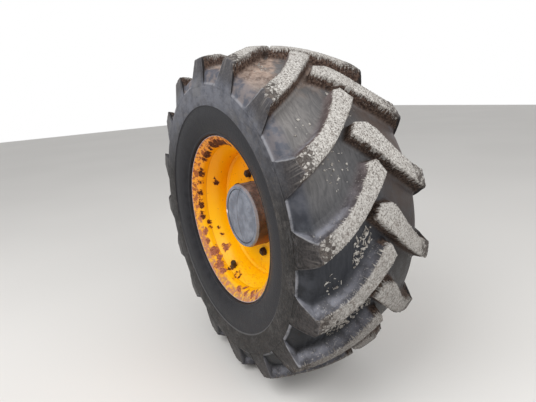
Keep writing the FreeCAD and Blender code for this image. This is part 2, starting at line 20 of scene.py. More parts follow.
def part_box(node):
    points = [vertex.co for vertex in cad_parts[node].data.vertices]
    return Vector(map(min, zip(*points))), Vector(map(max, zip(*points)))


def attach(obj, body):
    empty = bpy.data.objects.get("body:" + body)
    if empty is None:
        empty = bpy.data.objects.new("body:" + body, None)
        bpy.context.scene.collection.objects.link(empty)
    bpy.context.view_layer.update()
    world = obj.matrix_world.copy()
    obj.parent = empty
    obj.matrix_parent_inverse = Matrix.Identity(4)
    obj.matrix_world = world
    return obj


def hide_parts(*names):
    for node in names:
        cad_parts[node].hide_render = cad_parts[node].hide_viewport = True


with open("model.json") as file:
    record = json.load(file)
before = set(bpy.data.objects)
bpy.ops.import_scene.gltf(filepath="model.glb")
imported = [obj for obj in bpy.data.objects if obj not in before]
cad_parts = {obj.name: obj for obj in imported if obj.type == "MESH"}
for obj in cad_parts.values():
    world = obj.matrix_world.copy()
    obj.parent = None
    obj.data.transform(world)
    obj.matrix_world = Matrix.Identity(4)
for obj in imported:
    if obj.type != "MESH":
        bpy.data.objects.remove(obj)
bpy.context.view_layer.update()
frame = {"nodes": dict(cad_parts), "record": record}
mounts = {mount["name"]: mount for mount in frame["record"]["mounts"]}
ground = mounts["ground_contact"]["pos_m"]
AXLE_Y = ground[1]
TYRE_RADIUS = -ground[2]
print("nodes:", len(frame["nodes"]), " middle plane at y =", AXLE_Y, " tyre radius =", TYRE_RADIUS)

# %% [markdown]
# ## The camera
# The photograph was taken close to the wheel with a wide lens, so near lugs look large and the
# far side falls away quickly. That look comes from the distance, so the camera stands where the
# photographer stood, 1.4 m from the wheel's centre, and looks down a little with a small tilt.
# Its three directions are worked out from the angles and written into one matrix.

# %% Camera
EYE = Vector((1.1532, AXLE_Y - 0.7096, 0.4082))
YAW, PITCH, ROLL = (math.radians(angle) for angle in (58.438, 15.574, -3.787))

forward = Vector((-math.sin(YAW) * math.cos(PITCH), math.cos(YAW) * math.cos(PITCH), -math.sin(PITCH)))
level = Vector((math.cos(YAW), math.sin(YAW), 0))
upright = level.cross(forward)
right = level * math.cos(ROLL) + upright * math.sin(ROLL)
up = upright * math.cos(ROLL) - level * math.sin(ROLL)
camera = bpy.data.objects.new("camera", bpy.data.cameras.new("camera"))
camera.data.sensor_width = 36
camera.data.lens = 27
camera.data.clip_start = 0.02
camera.matrix_world = Matrix((right, up, -forward)).transposed().to_4x4()
camera.location = EYE
bpy.context.scene.collection.objects.link(camera)
bpy.context.scene.camera = camera
bpy.context.scene.view_settings.view_transform = "Standard"
print("camera", round((EYE - Vector((0, AXLE_Y, 0))).length, 2), "m from the wheel's centre")

# %% [markdown]
# ## Nodes in short calls
# Every finish below is built from nodes, and three small classes keep such a graph readable. A
# graph makes one node for each call and returns its output as a value. A value can be added,
# multiplied, ramped or coated with a tone, so a rule for rust reads like a sum. A finish is the
# graph of one material. It reads places in the object's own coordinates, so the pattern stays
# on the piece when the wheel turns.

# %% Classes for finishes


def colour(red, green, blue):
    """A screen colour, 0 to 255 each, as the linear values that a shader takes."""
    shares = [part / 255 for part in (red, green, blue)]
    return tuple(part / 12.92 if part <= 0.04045 else ((part + 0.055) / 1.055) ** 2.4 for part in shares) + (1.0,)


class Value:
    """The output of a node. A sum of values is written as a sum, and makes its own nodes."""

    def __init__(self, graph, socket):
        self.graph, self.socket = graph, socket

    def math(self, operation, other=None):
        return self.graph.math(operation, self, other)

    def __add__(self, other):
        return self.math("ADD", other)

    def __sub__(self, other):
        return self.math("SUBTRACT", other)

    def __rsub__(self, other):
        return self.graph.math("SUBTRACT", other, self)

    def __mul__(self, other):
        return self.math("MULTIPLY", other)

    def __abs__(self):
        return self.math("ABSOLUTE")

    def ramp(self, low, high, start=0.0, end=1.0):
        """A soft step: start below low, end above high."""
        inputs = {"Value": self, "From Min": low, "From Max": high, "To Min": start, "To Max": end}
        return self.graph.node("ShaderNodeMapRange", inputs, interpolation_type="SMOOTHSTEP")

    def blend(self, first, second):
        """A number between two others. This value is the share of the second."""
        return self.graph.node("ShaderNodeMix", {0: self, 2: first, 3: second})

    def mix(self, first, second):
        """A tone between two others. This value is the share of the second."""
        first, second = (colour(*tone) if isinstance(tone, tuple) else tone for tone in (first, second))
        return self.graph.node("ShaderNodeMix", {0: self, 6: first, 7: second}, 2, data_type="RGBA")

    def tones(self, low, high, first, second):
        """The first tone where this value is below low, the second where it is above high."""
        return self.ramp(low, high).mix(first, second)

    def coated(self, *coats):
        """This tone under coats of dust, rust or wear, each given as a share and a tone."""
        tone = self
        for share, coat in coats:
            tone = share.mix(tone, coat)
        return tone


class Graph:
    """A node tree with short calls for its nodes."""

    def __init__(self, tree):
        self.tree = tree

    def plug(self, socket, value):
        if isinstance(value, Value):
            self.tree.links.new(value.socket, socket)
        elif value is not None:
            socket.default_value = value

    def node(self, kind, inputs, output=0, **settings):
        """A new node with its settings and inputs, as the value of one of its outputs."""
        node = self.tree.nodes.new(kind)
        for name, value in settings.items():
            setattr(node, name, value)
        for name, value in inputs.items():
            self.plug(node.inputs[name], value)
        return Value(self, node.outputs[output])

    def math(self, operation, first, second=None):
        """A math node, or a vector math node where the first value is a vector."""
        is_vector = isinstance(first, Value) and first.socket.type == "VECTOR"
        kind = "ShaderNodeVectorMath" if is_vector else "ShaderNodeMath"
        output = 1 if operation in ("LENGTH", "DISTANCE") else 0
        return self.node(kind, {0: first, 1: second}, output, operation=operation)


class Finish(Graph):
    """One material, with the textures and relief that finishes need."""

    def __init__(self, name, roughness=0.6, metallic=0.0, specular=0.5):
        self.material = bpy.data.materials.new(name)
        self.material.use_nodes = True
        super().__init__(self.material.node_tree)
        self.shader = self.tree.nodes["Principled BSDF"]
        for setting, value in (("Roughness", roughness), ("Metallic", metallic), ("Specular IOR Level", specular)):
            self.set(setting, value)
        self.place = self.node("ShaderNodeTexCoord", {}, "Object")
        self.heights = None

    def set(self, name, value):
        self.plug(self.shader.inputs[name], value)

    def tone(self):
        """The tone on the shader, for more coats."""
        return Value(self, self.shader.inputs["Base Color"].links[0].from_socket)

    def noise(self, scale, detail=3.0, rough=0.55, place=None, twist=0.0):
        inputs = {"Vector": place or self.place, "Scale": scale, "Detail": detail, "Roughness": rough,
                  "Distortion": twist}
        return self.node("ShaderNodeTexNoise", inputs, "Fac")

    def cells(self, scale, output="Distance", feature="F1"):
        return self.node("ShaderNodeTexVoronoi", {"Vector": self.place, "Scale": scale}, output, feature=feature)

    def attribute(self, name):
        return self.node("ShaderNodeAttribute", {}, "Fac", attribute_name=name)

    def axes(self):
        """Distance from the wheel's axis, the place along it from the middle plane, and the height."""
        radius = (self.place * (1, 0, 1)).math("LENGTH")
        along, height = (self.node("ShaderNodeSeparateXYZ", {0: self.place}, axis) for axis in (1, 2))
        return radius, along - AXLE_Y, height

    def rough_up(self, height, distance):
        """Relief of the given depth in metres. Later calls lie on top of earlier ones."""
        inputs = {"Height": height, "Distance": distance, "Strength": 1.0, "Normal": self.heights}
        self.heights = self.node("ShaderNodeBump", inputs)
        self.set("Normal", self.heights)


print("classes ready for values, graphs and finishes")

# %% [markdown]
# ## Turned pieces
# A tyre and a rim are round, so both can be drawn as a section and turned about the axle. The
# section is a list of corners, each with the length of its rounding, because pressed steel and
# moulded rubber have no knife edges. A corner's rounding is a short curve that leaves and
# arrives along its two edges. Real pieces of this kind are turned or rolled just like that.

# %% Helpers for turned pieces


def rounded(corners, steps=4):
    """A closed section from (radius, place, rounding) corners."""
    points = []
    count = len(corners)
    for number in range(count):
        before, here, after = (np.array(corners[(number + step) % count][:2]) for step in (-1, 0, 1))
        rounding = corners[number][2]
        if rounding == 0:
            points.append(here)
            continue
        start = here + (before - here) * min(rounding / np.linalg.norm(before - here), 0.49)
        end = here + (after - here) * min(rounding / np.linalg.norm(after - here), 0.49)
        for share in np.linspace(0, 1, steps + 1):
            points.append(start * (1 - share) ** 2 + here * 2 * share * (1 - share) + end * share ** 2)
    return np.array(points)


def polar(radius, place, angle):
    """A point from its distance to the axis, its place along it, and its angle from +X."""
    radius, place, angle = np.broadcast_arrays(radius, place, angle)
    return np.stack([radius * np.cos(angle), place + AXLE_Y, radius * np.sin(angle)], axis=-1)


def make_mesh(name, points, faces, layers=None, sharp=40):
    """An object from points and faces, its normals outwards, smooth apart from sharp edges."""
    mesh = bpy.data.meshes.new(name)
    mesh.from_pydata(np.asarray(points).tolist(), [], faces)
    for layer_name, values in (layers or {}).items():
        layer = mesh.attributes.new(layer_name, "FLOAT", "POINT")
        layer.data.foreach_set("value", np.asarray(values, np.float32))
    work = bmesh.new()
    work.from_mesh(mesh)
    bmesh.ops.remove_doubles(work, verts=work.verts, dist=1e-6)
    bmesh.ops.recalc_face_normals(work, faces=work.faces)
    work.to_mesh(mesh)
    work.free()
    mesh.shade_smooth()
    mesh.set_sharp_from_angle(angle=math.radians(sharp))
    item = bpy.data.objects.new(name, mesh)
    bpy.context.scene.collection.objects.link(item)
    return item


def ring_faces(rings, steps, closed=False):
    """Quads between rings of points. A closed stack also joins its last ring to its first."""
    faces = []
    for ring in range(rings if closed else rings - 1):
        low, high = ring * steps, (ring + 1) % rings * steps
        for step in range(steps):
            beside = (step + 1) % steps
            faces.append((low + step, low + beside, high + beside, high + step))
    return faces


def turned(section, steps):
    """Points and faces of a closed (radius, place) section turned about the axle."""
    angles = np.linspace(0, 2 * math.pi, steps, endpoint=False)
    points = polar(section[:, None, 0], section[:, None, 1], angles[None, :]).reshape(-1, 3)
    return points, ring_faces(len(section), steps, closed=True)


def joined(copies, faces):
    """Points and faces of one mesh from many copies with the same faces."""
    count = len(copies[0])
    return np.concatenate(copies), [[int(corner) + count * number for corner in face]
                                    for number in range(len(copies)) for face in faces]


def dress(item, finish, body, slot, *replaced):
    """Give a new piece its finish, the body it moves with and the nodes it stands for."""
    item.data.materials.clear()
    item.data.materials.append(finish.material)
    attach(item, body)
    if replaced:
        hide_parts(*replaced)
    print(item.name, len(item.data.polygons), "faces on", body)
    return item


def repaint(finish, *nodes):
    """Give frame nodes that keep their mesh a finish."""
    for name in nodes:
        data = frame["nodes"][name].data
        data.materials.clear()
        data.materials.append(finish.material)
    print("finish", finish.material.name, "on", ", ".join(nodes))


print("turning helpers ready")

# %% [markdown]
# ## The tyre's carcass
# From the rim outwards the section runs up the bead behind the sloped flange, over a rim guard
# that stands a little prouder than the flange and leaves a thin dark gap beside it, along a
# smooth band of sidewall to a moulded ring line, and on to the shoulder. Between two lugs the
# shoulder is a shallow pocket with a step at its inner end. All of this is the same all round,
# so the carcass is one section turned about the axle. The inside is left hollow, as in a real
# tyre, so that the exported mesh is a true shell.

# %% Section of the carcass
TREAD_HALF = 0.190
FLOOR_EDGE = (0.474, 0.175)
FLOOR_RADIUS = 0.500
STEPS_AROUND = 320
EDGE_SHARE = FLOOR_EDGE[1] / TREAD_HALF
LAST_SHARE = 2.1
INNER_HALF = [(0.285, -0.135), (0.310, -0.165), (0.372, -0.186), (0.420, -0.186), (0.452, -0.155),
              (0.468, -0.090), (0.474, 0.0)]


def floor_radius(across):
    """Radius of the groove floor at a distance from the middle plane."""
    return FLOOR_RADIUS - (FLOOR_RADIUS - FLOOR_EDGE[0]) * (across / FLOOR_EDGE[1]) ** 2


# The pocket from the floor's edge, over the shoulder, to the step where it meets the sidewall.
pocket = rounded([
    (*FLOOR_EDGE, 0), (0.4668, 0.1885, 0.012), (0.4480, 0.1957, 0.010), (0.4412, 0.1972, 0.004),
    (0.4355, 0.2038, 0.003), (0.4290, 0.2044, 0),
])
steps = np.linalg.norm(np.diff(pocket, axis=0), axis=1)
pocket_shares = EDGE_SHARE + (LAST_SHARE - EDGE_SHARE) * np.concatenate([[0], np.cumsum(steps)]) / steps.sum()

sidewall = rounded([
    (0.2543, 0.1335, 0.003), (0.2543, 0.1442, 0.004), (0.2793, 0.1648, 0.001), (0.2808, 0.1740, 0.002),
    (0.2824, 0.1796, 0.002), (0.2880, 0.1814, 0.003), (0.2902, 0.1802, 0.0008), (0.3040, 0.1898, 0.012),
    (0.3300, 0.1965, 0.012), (0.3500, 0.1985, 0.010), (0.3706, 0.1988, 0.0008), (0.3724, 0.2016, 0.0010),
    (0.3900, 0.2040, 0.008), (0.4130, 0.2050, 0.010), (0.4220, 0.2047, 0),
    (0.4520, 0.1550, 0), (0.4680, 0.0900, 0), (0.4520, -0.1550, 0),
], steps=3)[:-3]
across = np.linspace(FLOOR_EDGE[1], 0, 13)[1:]
floor = np.stack([floor_radius(across), across], axis=-1)
half = np.concatenate([sidewall, pocket[::-1], floor])
other_half = half[::-1][1:] * (1, -1)
inside = np.concatenate([INNER_HALF, np.array(INNER_HALF)[-2::-1] * (1, -1)])
carcass_section = np.concatenate([half, other_half, inside])
tyre_carcass = make_mesh("tyre_carcass", *turned(carcass_section, STEPS_AROUND))
print("carcass section:", len(carcass_section), "points,", len(tyre_carcass.data.polygons), "faces")

# %% [markdown]
# ## One lug
# The lugs give this tyre its look. Each one starts as a blunt block just past the middle line,
# runs out and back in a slow bend, and folds over the shoulder as a buttress that widens until
# it is flush with the sidewall. Thirty two blocks could be cut from a solid, but the flanks lean
# and the feet flow into the floor, so a lug is built here as a stack of loops instead. Every
# loop is the same outline seen from outside, pushed outwards a little more with each step down.
# The outline lives on a flat map: one way is the length round the tyre, the other is the length
# across the tread and on down the shoulder. The lugs of the far row end a little shorter.

# %% Map of a lug
MAP_RADIUS = 0.5
FOLD_LENGTH = 0.078
LUG_PITCH = 22.5
LUG_COUNT = 16
NEAR_START = 21.6
FAR_SHIFT = -9.8
# Corners as (angle in degrees, share): 0 is the middle line, 1 the tread's edge, 2 the pocket's end.
LOWER_EDGE = [(0, -0.19), (-3, -0.053), (-7.7, 0.195), (-11.5, 0.395), (-14.5, 0.589), (-17, 0.774),
              (-18.9, 0.921), (-19.6, 1.0), (-21.3, 1.46), (-22.8, 1.9), (-23.6, 2.1)]
UPPER_EDGE = [(3.5, 0.063), (1, 0.147), (-2.6, 0.284), (-6.4, 0.458), (-9.4, 0.626), (-10.9, 0.763),
              (-12.8, 0.932), (-13.6, 1.0), (-12.5, 1.46), (-10.8, 1.9), (-10.0, 2.1)]
END_CUT = [(3.5, 0.063), (4.0, -0.079), (0, -0.19)]
FAR_LOWER_EDGE = [(-1.2, -0.15)] + LOWER_EDGE[1:]
FAR_UPPER_EDGE = [(1.8, 0.175), (0.1, 0.27), (-3.1, 0.37), (-6.3, 0.49), (-9.4, 0.635), (-11.2, 0.75),
                  (-13.0, 0.9), (-14.0, 1.0)] + UPPER_EDGE[8:]
FAR_END_CUT = [(1.8, 0.175), (2.2, -0.03), (-1.2, -0.15)]
# Outer line of a lug over the shares, as (share, radius, distance from the middle plane).
LUG_TOP = np.array([
    [1.0, 0.5125, 0.1900], [1.3, 0.4920, 0.1945], [1.6, 0.4700, 0.1985], [1.8, 0.4535, 0.2020],
    [2.0, 0.4365, 0.2041], [2.1, 0.4280, 0.2043],
])


def to_map(corners):
    """Corners as (angle, share) to metres on the flat map."""
    corners = np.array(corners, float)
    length = np.where(corners[:, 1] <= 1, corners[:, 1] * TREAD_HALF,
                      TREAD_HALF + (corners[:, 1] - 1) * FOLD_LENGTH)
    return np.stack([np.radians(corners[:, 0]) * MAP_RADIUS, length], axis=-1)


def even_steps(points, count, soften=0):
    """Even steps along a line of points, its corners softened where asked."""
    lengths = np.concatenate([[0], np.cumsum(np.linalg.norm(np.diff(points, axis=0), axis=1))])
    places = np.linspace(0, lengths[-1], count)
    line = np.stack([np.interp(places, lengths, points[:, axis]) for axis in (0, 1)], axis=-1)
    for turn in range(soften):
        line[1:-1] = (line[:-2] + 2 * line[1:-1] + line[2:]) / 4
    return line


ALONG, WIDE = 70, 9
AROUND = 2 * ALONG + 2 * (WIDE - 2)
UPPER_START = ALONG + WIDE - 2


def lug_outline(lower_edge, upper_edge, end_cut):
    """The closed outline: out along the lower edge, back along the upper one."""
    lower = even_steps(to_map(lower_edge), ALONG, soften=4)
    upper = even_steps(to_map(upper_edge), ALONG, soften=4)
    cut = even_steps(to_map(end_cut), WIDE)
    tip = even_steps(np.stack([lower[-1], upper[-1]]), WIDE)
    return np.concatenate([lower, tip[1:-1], upper[::-1], cut[1:-1]])


near_outline = lug_outline(LOWER_EDGE, UPPER_EDGE, END_CUT)
far_outline = lug_outline(FAR_LOWER_EDGE, FAR_UPPER_EDGE, FAR_END_CUT)
# Both rows, as (side, angle of the first lug, outline, how crusted the upper flanks are).
ROWS = [(-1, NEAR_START, near_outline, 0.12), (1, NEAR_START + FAR_SHIFT, far_outline, 1.0)]
print("lug outline:", AROUND, "points,", round(float(np.ptp(near_outline[:, 1])) * 1000), "mm across")

# %% [markdown]
# A loop is pushed outwards along its own normals, which are softened first so that a deep push
# doesn't fold the loop over itself in a tight corner. Where the height of the lug shrinks to
# nothing, at the end of the buttress, the lean has to shrink with it, so each push is given as
# a share of the height at that point.

# %% From the map to the tyre


def pushed(loop, distance):
    """A loop on the map moved outwards by a distance for each point."""
    ahead = np.roll(loop, -1, axis=0) - np.roll(loop, 1, axis=0)
    normal = np.stack([ahead[:, 1], -ahead[:, 0]], axis=-1)
    for turn in range(4):
        normal /= np.linalg.norm(normal, axis=1)[:, None]
        normal = np.roll(normal, 1, axis=0) + 2 * normal + np.roll(normal, -1, axis=0)
    normal /= np.linalg.norm(normal, axis=1)[:, None]
    area = np.sum(loop[:, 0] * np.roll(loop[:, 1], -1) - np.roll(loop[:, 0], -1) * loop[:, 1])
    return loop + normal * math.copysign(1, area) * np.asarray(distance)[..., None]


def base_and_top(length):
    """(radius, distance) of the floor below and of the lug's outer line, for lengths on the map."""
    share = np.where(length <= TREAD_HALF, length / TREAD_HALF, 1 + (length - TREAD_HALF) / FOLD_LENGTH)
    crown = np.stack([floor_radius(share * TREAD_HALF), share * TREAD_HALF], axis=-1)
    fold = np.stack([np.interp(share, pocket_shares, pocket[:, axis]) for axis in (0, 1)], axis=-1)
    base = np.where((share <= EDGE_SHARE)[:, None], crown, fold)
    flat = np.stack([TYRE_RADIUS - 0.0255 * share ** 2, share * TREAD_HALF], axis=-1)
    bent = np.stack([np.interp(share, LUG_TOP[:, 0], LUG_TOP[:, axis]) for axis in (1, 2)], axis=-1)
    top = np.where((share <= 1)[:, None], flat, bent)
    return base, top, share


def lift(loop, height_share):
    """Points (radius, distance, angle) of a loop at a share of the lug's height."""
    base, top, share = base_and_top(loop[:, 1])
    point = base + (top - base) * np.asarray(height_share)[..., None]
    return np.concatenate([point, (loop[:, :1] / MAP_RADIUS)], axis=1)


def smooth(value, low, high):
    """A soft step between two values."""
    share = np.clip((value - low) / (high - low), 0, 1)
    return share * share * (3 - 2 * share)


print("map helpers ready")

# %% [markdown]
# The loops go down in three runs: over a small rounding at the top edge, down the leaning
# flank, and out through a wide fillet into the floor. The upper flank of the buttress leans
# most, almost like a chamfer, and that is the pale slope seen under each lug's shoulder. Each
# loop also carries numbers for the finish: a zone from 1 on the top to 0 at the foot, the
# depth below the top edge, the run along the outline, and how crusted that flank is.

# %% Loops of a lug
EDGE_ROUND = 0.0036
FOOT_ROUND = (0.011, 0.018)
LAYERS = ("zone", "depth", "run", "crusted")


def lug_loops(outline, crusted_upper):
    """Points and layers of the loops of one lug, and the outline pushed in for its top."""
    base, top, share = base_and_top(outline[:, 1])
    heights = np.maximum(np.linalg.norm(top - base, axis=1), 0.001)
    is_upper = np.zeros(AROUND)
    is_upper[UPPER_START:UPPER_START + ALONG] = 1
    chamfer = smooth(share, 0.9, 1.3)
    lean = 0.17 + is_upper * (0.13 + 0.72 * chamfer)
    fillet = np.minimum(FOOT_ROUND[0] + (FOOT_ROUND[1] - FOOT_ROUND[0]) * is_upper, heights * 0.5)
    edge = np.minimum(EDGE_ROUND, heights * 0.3)
    fade = np.minimum(heights / 0.010, 1)
    levels = [(edge * (math.sin(turn) - 1) * 1.25, edge * (1 - math.cos(turn)), 0.97 - 0.1 * turn)
              for turn in np.linspace(0, math.pi / 2, 4)]
    foot = heights - fillet
    for part in (0.3, 0.65, 1.0):
        depth = edge + (foot - edge) * part
        levels.append((lean * (depth - edge), depth, 0.75 - 0.4 * part))
    for turn in np.linspace(0, math.pi / 2, 5)[1:]:
        push = lean * (foot - edge) + fillet * (1 - math.cos(turn))
        levels.append((push, foot + fillet * math.sin(turn), 0.35 - 0.21 * turn))
    levels.append((levels[-1][0] + 0.002, heights + 0.003, 0.0))
    run = np.concatenate([[0], np.cumsum(np.linalg.norm(np.diff(outline, axis=0), axis=1))])
    crusted = np.where(is_upper > 0, crusted_upper, 1.0)
    points, layers = [], {name: [] for name in LAYERS}
    for push, depth, zone in levels:
        points.append(lift(pushed(outline, push * fade), 1 - np.minimum(depth, heights + 0.003) / heights))
        for name, value in zip(LAYERS, (max(zone, 0.0), depth, run, crusted)):
            layers[name].append(np.broadcast_to(value, (AROUND,)))
    return points, layers, pushed(outline, levels[0][0] * fade)


loops, layers, inner = lug_loops(near_outline, ROWS[0][3])
loop_count = len(loops)
print("loops per lug:", loop_count, " deepest", round(float(layers["depth"][-1].max()) * 1000, 1), "mm")

# %% [markdown]
# The flat top is filled with a grid that runs from the lower edge to the upper one, so that
# worn spots and chipped corners have points to move. The foot is closed as well, out of sight
# under the floor.

# %% Top and faces of a lug


def filled_top(inner):
    """Points of the grid inside a loop, in rows from the lower to the upper edge."""
    low, high = inner[:ALONG], inner[UPPER_START:UPPER_START + ALONG][::-1]
    first_row = np.concatenate([low[:1], inner[UPPER_START + ALONG:][::-1], high[:1]])
    shares = np.linspace(0, 1, WIDE)[None, :, None]
    grid = low[:, None] * (1 - shares) + high[:, None] * shares
    reach = np.clip(1 - np.arange(ALONG) / 12, 0, 1)[:, None, None]
    grid = grid + reach * (first_row - (low[0] + (high[0] - low[0]) * shares[0]))[None]
    return lift(grid[:, 1:-1].reshape(-1, 2), np.ones(ALONG * (WIDE - 2)))


def lug_mesh(outline, crusted_upper):
    """Points and layers of a whole lug."""
    points, layers, inner = lug_loops(outline, crusted_upper)
    cap = filled_top(inner)
    for name, value in zip(LAYERS, (1.0, 0.0, 0.0, 0.0)):
        layers[name] = np.concatenate(layers[name] + [np.full(len(cap), value)])
    return np.concatenate(points + [cap]), layers


# Where row and column of the grid are found among the points: the border is the first loop.
index = np.zeros((ALONG, WIDE), int)
index[:, 0] = np.arange(ALONG)
index[:, -1] = np.arange(UPPER_START + ALONG - 1, UPPER_START - 1, -1)
index[0, 1:-1] = np.arange(AROUND - 1, UPPER_START + ALONG - 1, -1)
index[-1, 1:-1] = np.arange(ALONG, UPPER_START)
index[1:-1, 1:-1] = loop_count * AROUND + np.arange(ALONG * (WIDE - 2)).reshape(ALONG, WIDE - 2)[1:-1]
lug_faces = [(index[row, column], index[row, column + 1], index[row + 1, column + 1], index[row + 1, column])
             for row in range(ALONG - 1) for column in range(WIDE - 1)]
lug_faces += ring_faces(loop_count, AROUND)
# The foot is closed across the same border, but on the last loop.
index += (loop_count - 1) * AROUND
lug_faces += [(index[row, 0], index[row, -1], index[row + 1, -1], index[row + 1, 0]) for row in range(ALONG - 1)]
lug_faces += [tuple(index[0]), tuple(index[-1])]
print("faces of one lug:", len(lug_faces))

# %% [markdown]
# ## Both rows
# Sixteen lugs go round the outer half. The inner half mirrors them and sits a little under half
# a pitch further, so that the blocks interlock along the middle. A worn tyre isn't perfect, so
# a smooth random field moves the points of each lug by a fraction of a millimetre, and bites a
# little more out of its edges. The field is fixed in space, so each run gives the same tyre.

# %% Build the lugs
EDGE_BITE = 0.0042


def worn(points, zones):
    """Points moved by uneven wear, more at the edges of the tops."""
    moved = points.copy()
    for number, point in enumerate(points):
        place = Vector(point)
        broad, fine = noise.noise(place * 28), noise.noise(place * 90)
        cut = 0.0009 * broad + 0.0006 * fine
        if 0.78 < zones[number] < 0.99:
            cut -= EDGE_BITE * max(0, fine + 0.7 * broad - 0.12)
        if zones[number] > 0.9:
            cut = min(cut, 0) - 0.0002
        moved[number] = place + Vector((place.x, 0, place.z)).normalized() * cut
    return moved


lug_copies, lug_layers = [], {name: [] for name in LAYERS}
for side, first_angle, outline, crusted_upper in ROWS:
    lug_points, layers = lug_mesh(outline, crusted_upper)
    for number in range(LUG_COUNT):
        turn = math.radians(first_angle + LUG_PITCH * number)
        points = polar(lug_points[:, 0], lug_points[:, 1] * side, lug_points[:, 2] + turn)
        lug_copies.append(worn(points, layers["zone"]))
        for name in LAYERS:
            lug_layers[name].append(layers[name])
lug_layers = {name: np.concatenate(values) for name, values in lug_layers.items()}
tread_lugs = make_mesh("tread_lugs", *joined(lug_copies, lug_faces), lug_layers)
print("lugs:", len(lug_copies), "with", len(tread_lugs.data.vertices), "points")

# %% [markdown]
# ## Crumbs of dried mud
# Crumbs that fell off the lugs lie in the grooves. A texture could show them as pale dots, but a
# crumb has a shadow of its own, and it breaks the outline of the tread, so they are small
# meshes. One faceted ball is bent by a random field for each crumb, pressed flat and sunk a
# little into the floor. A place is kept only where no lug stands, and a seeded generator picks
# the same places in each run. All crumbs are joined into one piece.

# %% Crumbs
CRUMB_TRIES = 5200
CRUMB_REACH = 0.168
LUG_CLEARANCE = 0.006
# The lowest groove in sight has fresh crumbs: its angle, its place across and how far they spread.
FRESH_PLACE, FRESH_SPREAD = (-14, -0.04), (21, 0.07)
rows = [(side, first, pushed(shape, np.full(AROUND, LUG_CLEARANCE))) for side, first, shape, crusted in ROWS]


def inside_outline(outline, x, y):
    """True where a point of the map lies inside a closed outline."""
    ahead = np.roll(outline, -1, axis=0)
    spans = (outline[:, 1] > y) != (ahead[:, 1] > y)
    slope = (y - outline[:, 1]) / (ahead[:, 1] - outline[:, 1] + 1e-12)
    crossing = outline[:, 0] + slope * (ahead - outline)[:, 0]
    return np.count_nonzero(spans & (x < crossing)) % 2 == 1


def under_a_lug(angle, across):
    """True where a lug of either row stands over a place on the tread."""
    for side, first, shape in rows:
        for number in range(-1, 3):
            local = (angle - first) % LUG_PITCH - LUG_PITCH * number
            if inside_outline(shape, math.radians(local) * MAP_RADIUS, across * side):
                return True
    return False


ball = bmesh.new()
bmesh.ops.create_icosphere(ball, subdivisions=2, radius=1)
ball_points = np.array([vertex.co for vertex in ball.verts])
ball_faces = [[vertex.index for vertex in face.verts] for face in ball.faces]
ball.free()
dice = np.random.default_rng(11)
crumbs = []
for number in range(CRUMB_TRIES):
    angle, across = dice.uniform(-180, 180), dice.uniform(-CRUMB_REACH, CRUMB_REACH)
    if number % 6 == 0:
        angle, across = dice.normal(-15, 15), dice.normal(-0.055, 0.055)
    size, wide, long = 0.0010 + 0.0026 * dice.uniform() ** 1.5, dice.uniform(0.7, 1.2), dice.uniform(0.8, 1.6)
    turn, kind, curl = dice.uniform(0, math.pi), dice.uniform(), dice.uniform(-1, 1)
    away = [(value - at) / spread for value, at, spread in zip((angle, across), FRESH_PLACE, FRESH_SPREAD)]
    fresh = math.exp(-away[0] ** 2 - away[1] ** 2)
    angle_round = math.radians(angle)
    clustered = noise.noise(Vector((math.cos(angle_round) * 3, across * 14, math.sin(angle_round) * 3)))
    if abs(across) > CRUMB_REACH or clustered + 0.75 * fresh < 0.30 or under_a_lug(angle, across):
        continue
    size *= 1 + 0.5 * fresh
    if kind < 0.2 + 0.5 * fresh:
        size, wide, long = size * 0.85, wide * 0.7, long * 2.6
    bent = np.array([1 + 0.5 * noise.noise(Vector(point) * 1.3 + Vector((number, 0, 0))) for point in ball_points])
    shape = ball_points * bent[:, None] * size * (long, wide, 0.5)
    shape[:, 1] += 0.20 * curl * shape[:, 0] ** 2 / size
    along = shape[:, 0] * math.cos(turn) - shape[:, 1] * math.sin(turn)
    beside = shape[:, 0] * math.sin(turn) + shape[:, 1] * math.cos(turn)
    radius = floor_radius(abs(across)) + shape[:, 2] + size * 0.2
    crumbs.append(polar(radius, across + beside, angle_round + along / FLOOR_RADIUS))
mud_crumbs = make_mesh("mud_crumbs", *joined(crumbs, ball_faces), sharp=30)
print("crumbs:", len(crumbs))

# %% [markdown]
# ## A fringe of dried dust
# Wet dust hung over the edges of the lugs and dried there in ragged tongues, which stand off the
# flank a little. Bump can't break an edge's outline, so each tongue is a mesh of its own: four
# diamonds that follow the flank downwards and grow thinner. The flank's shape is already known
# from the loops of the lug, so a tongue reads its line from them.

# %% Fringe of dust
TONGUES_PER_LUG = 84
FRINGE_END = 0.178


def tongue(flank, depths, outward, at, wide, thick, length, wander):
    """Four diamonds down a flank, as (radius, distance, length round the tyre)."""
    rings = []
    levels = np.array([0.0004, 0.3 * length, 0.65 * length, length])
    lines = [np.stack([np.interp(levels, depths[:, spot], flank[:, spot, axis]) for axis in range(3)], axis=-1)
             for spot in (at - 1, at, at + 1)]
    down = lines[1][-1] - lines[1][0]
    for step, (width, height) in enumerate(((0.8, 0.5), (1.0, 1.0), (0.65, 0.8), (0.12, 0.2))):
        aside = lines[2][step] - lines[0][step]
        aside /= np.linalg.norm(aside)
        normal = np.cross(aside, down)
        normal *= math.copysign(1, normal @ outward[at]) / np.linalg.norm(normal)
        middle = lines[1][step] + aside * wander * step
        for turn in range(4):
            reach = (wide * width, thick * height, -wide * width, -0.0004)[turn]
            rings.append(middle + (aside if turn % 2 == 0 else normal) * reach)
    rings = np.array(rings)
    rings[:, 0] = np.minimum(rings[:, 0], TYRE_RADIUS - 0.0003)
    return rings


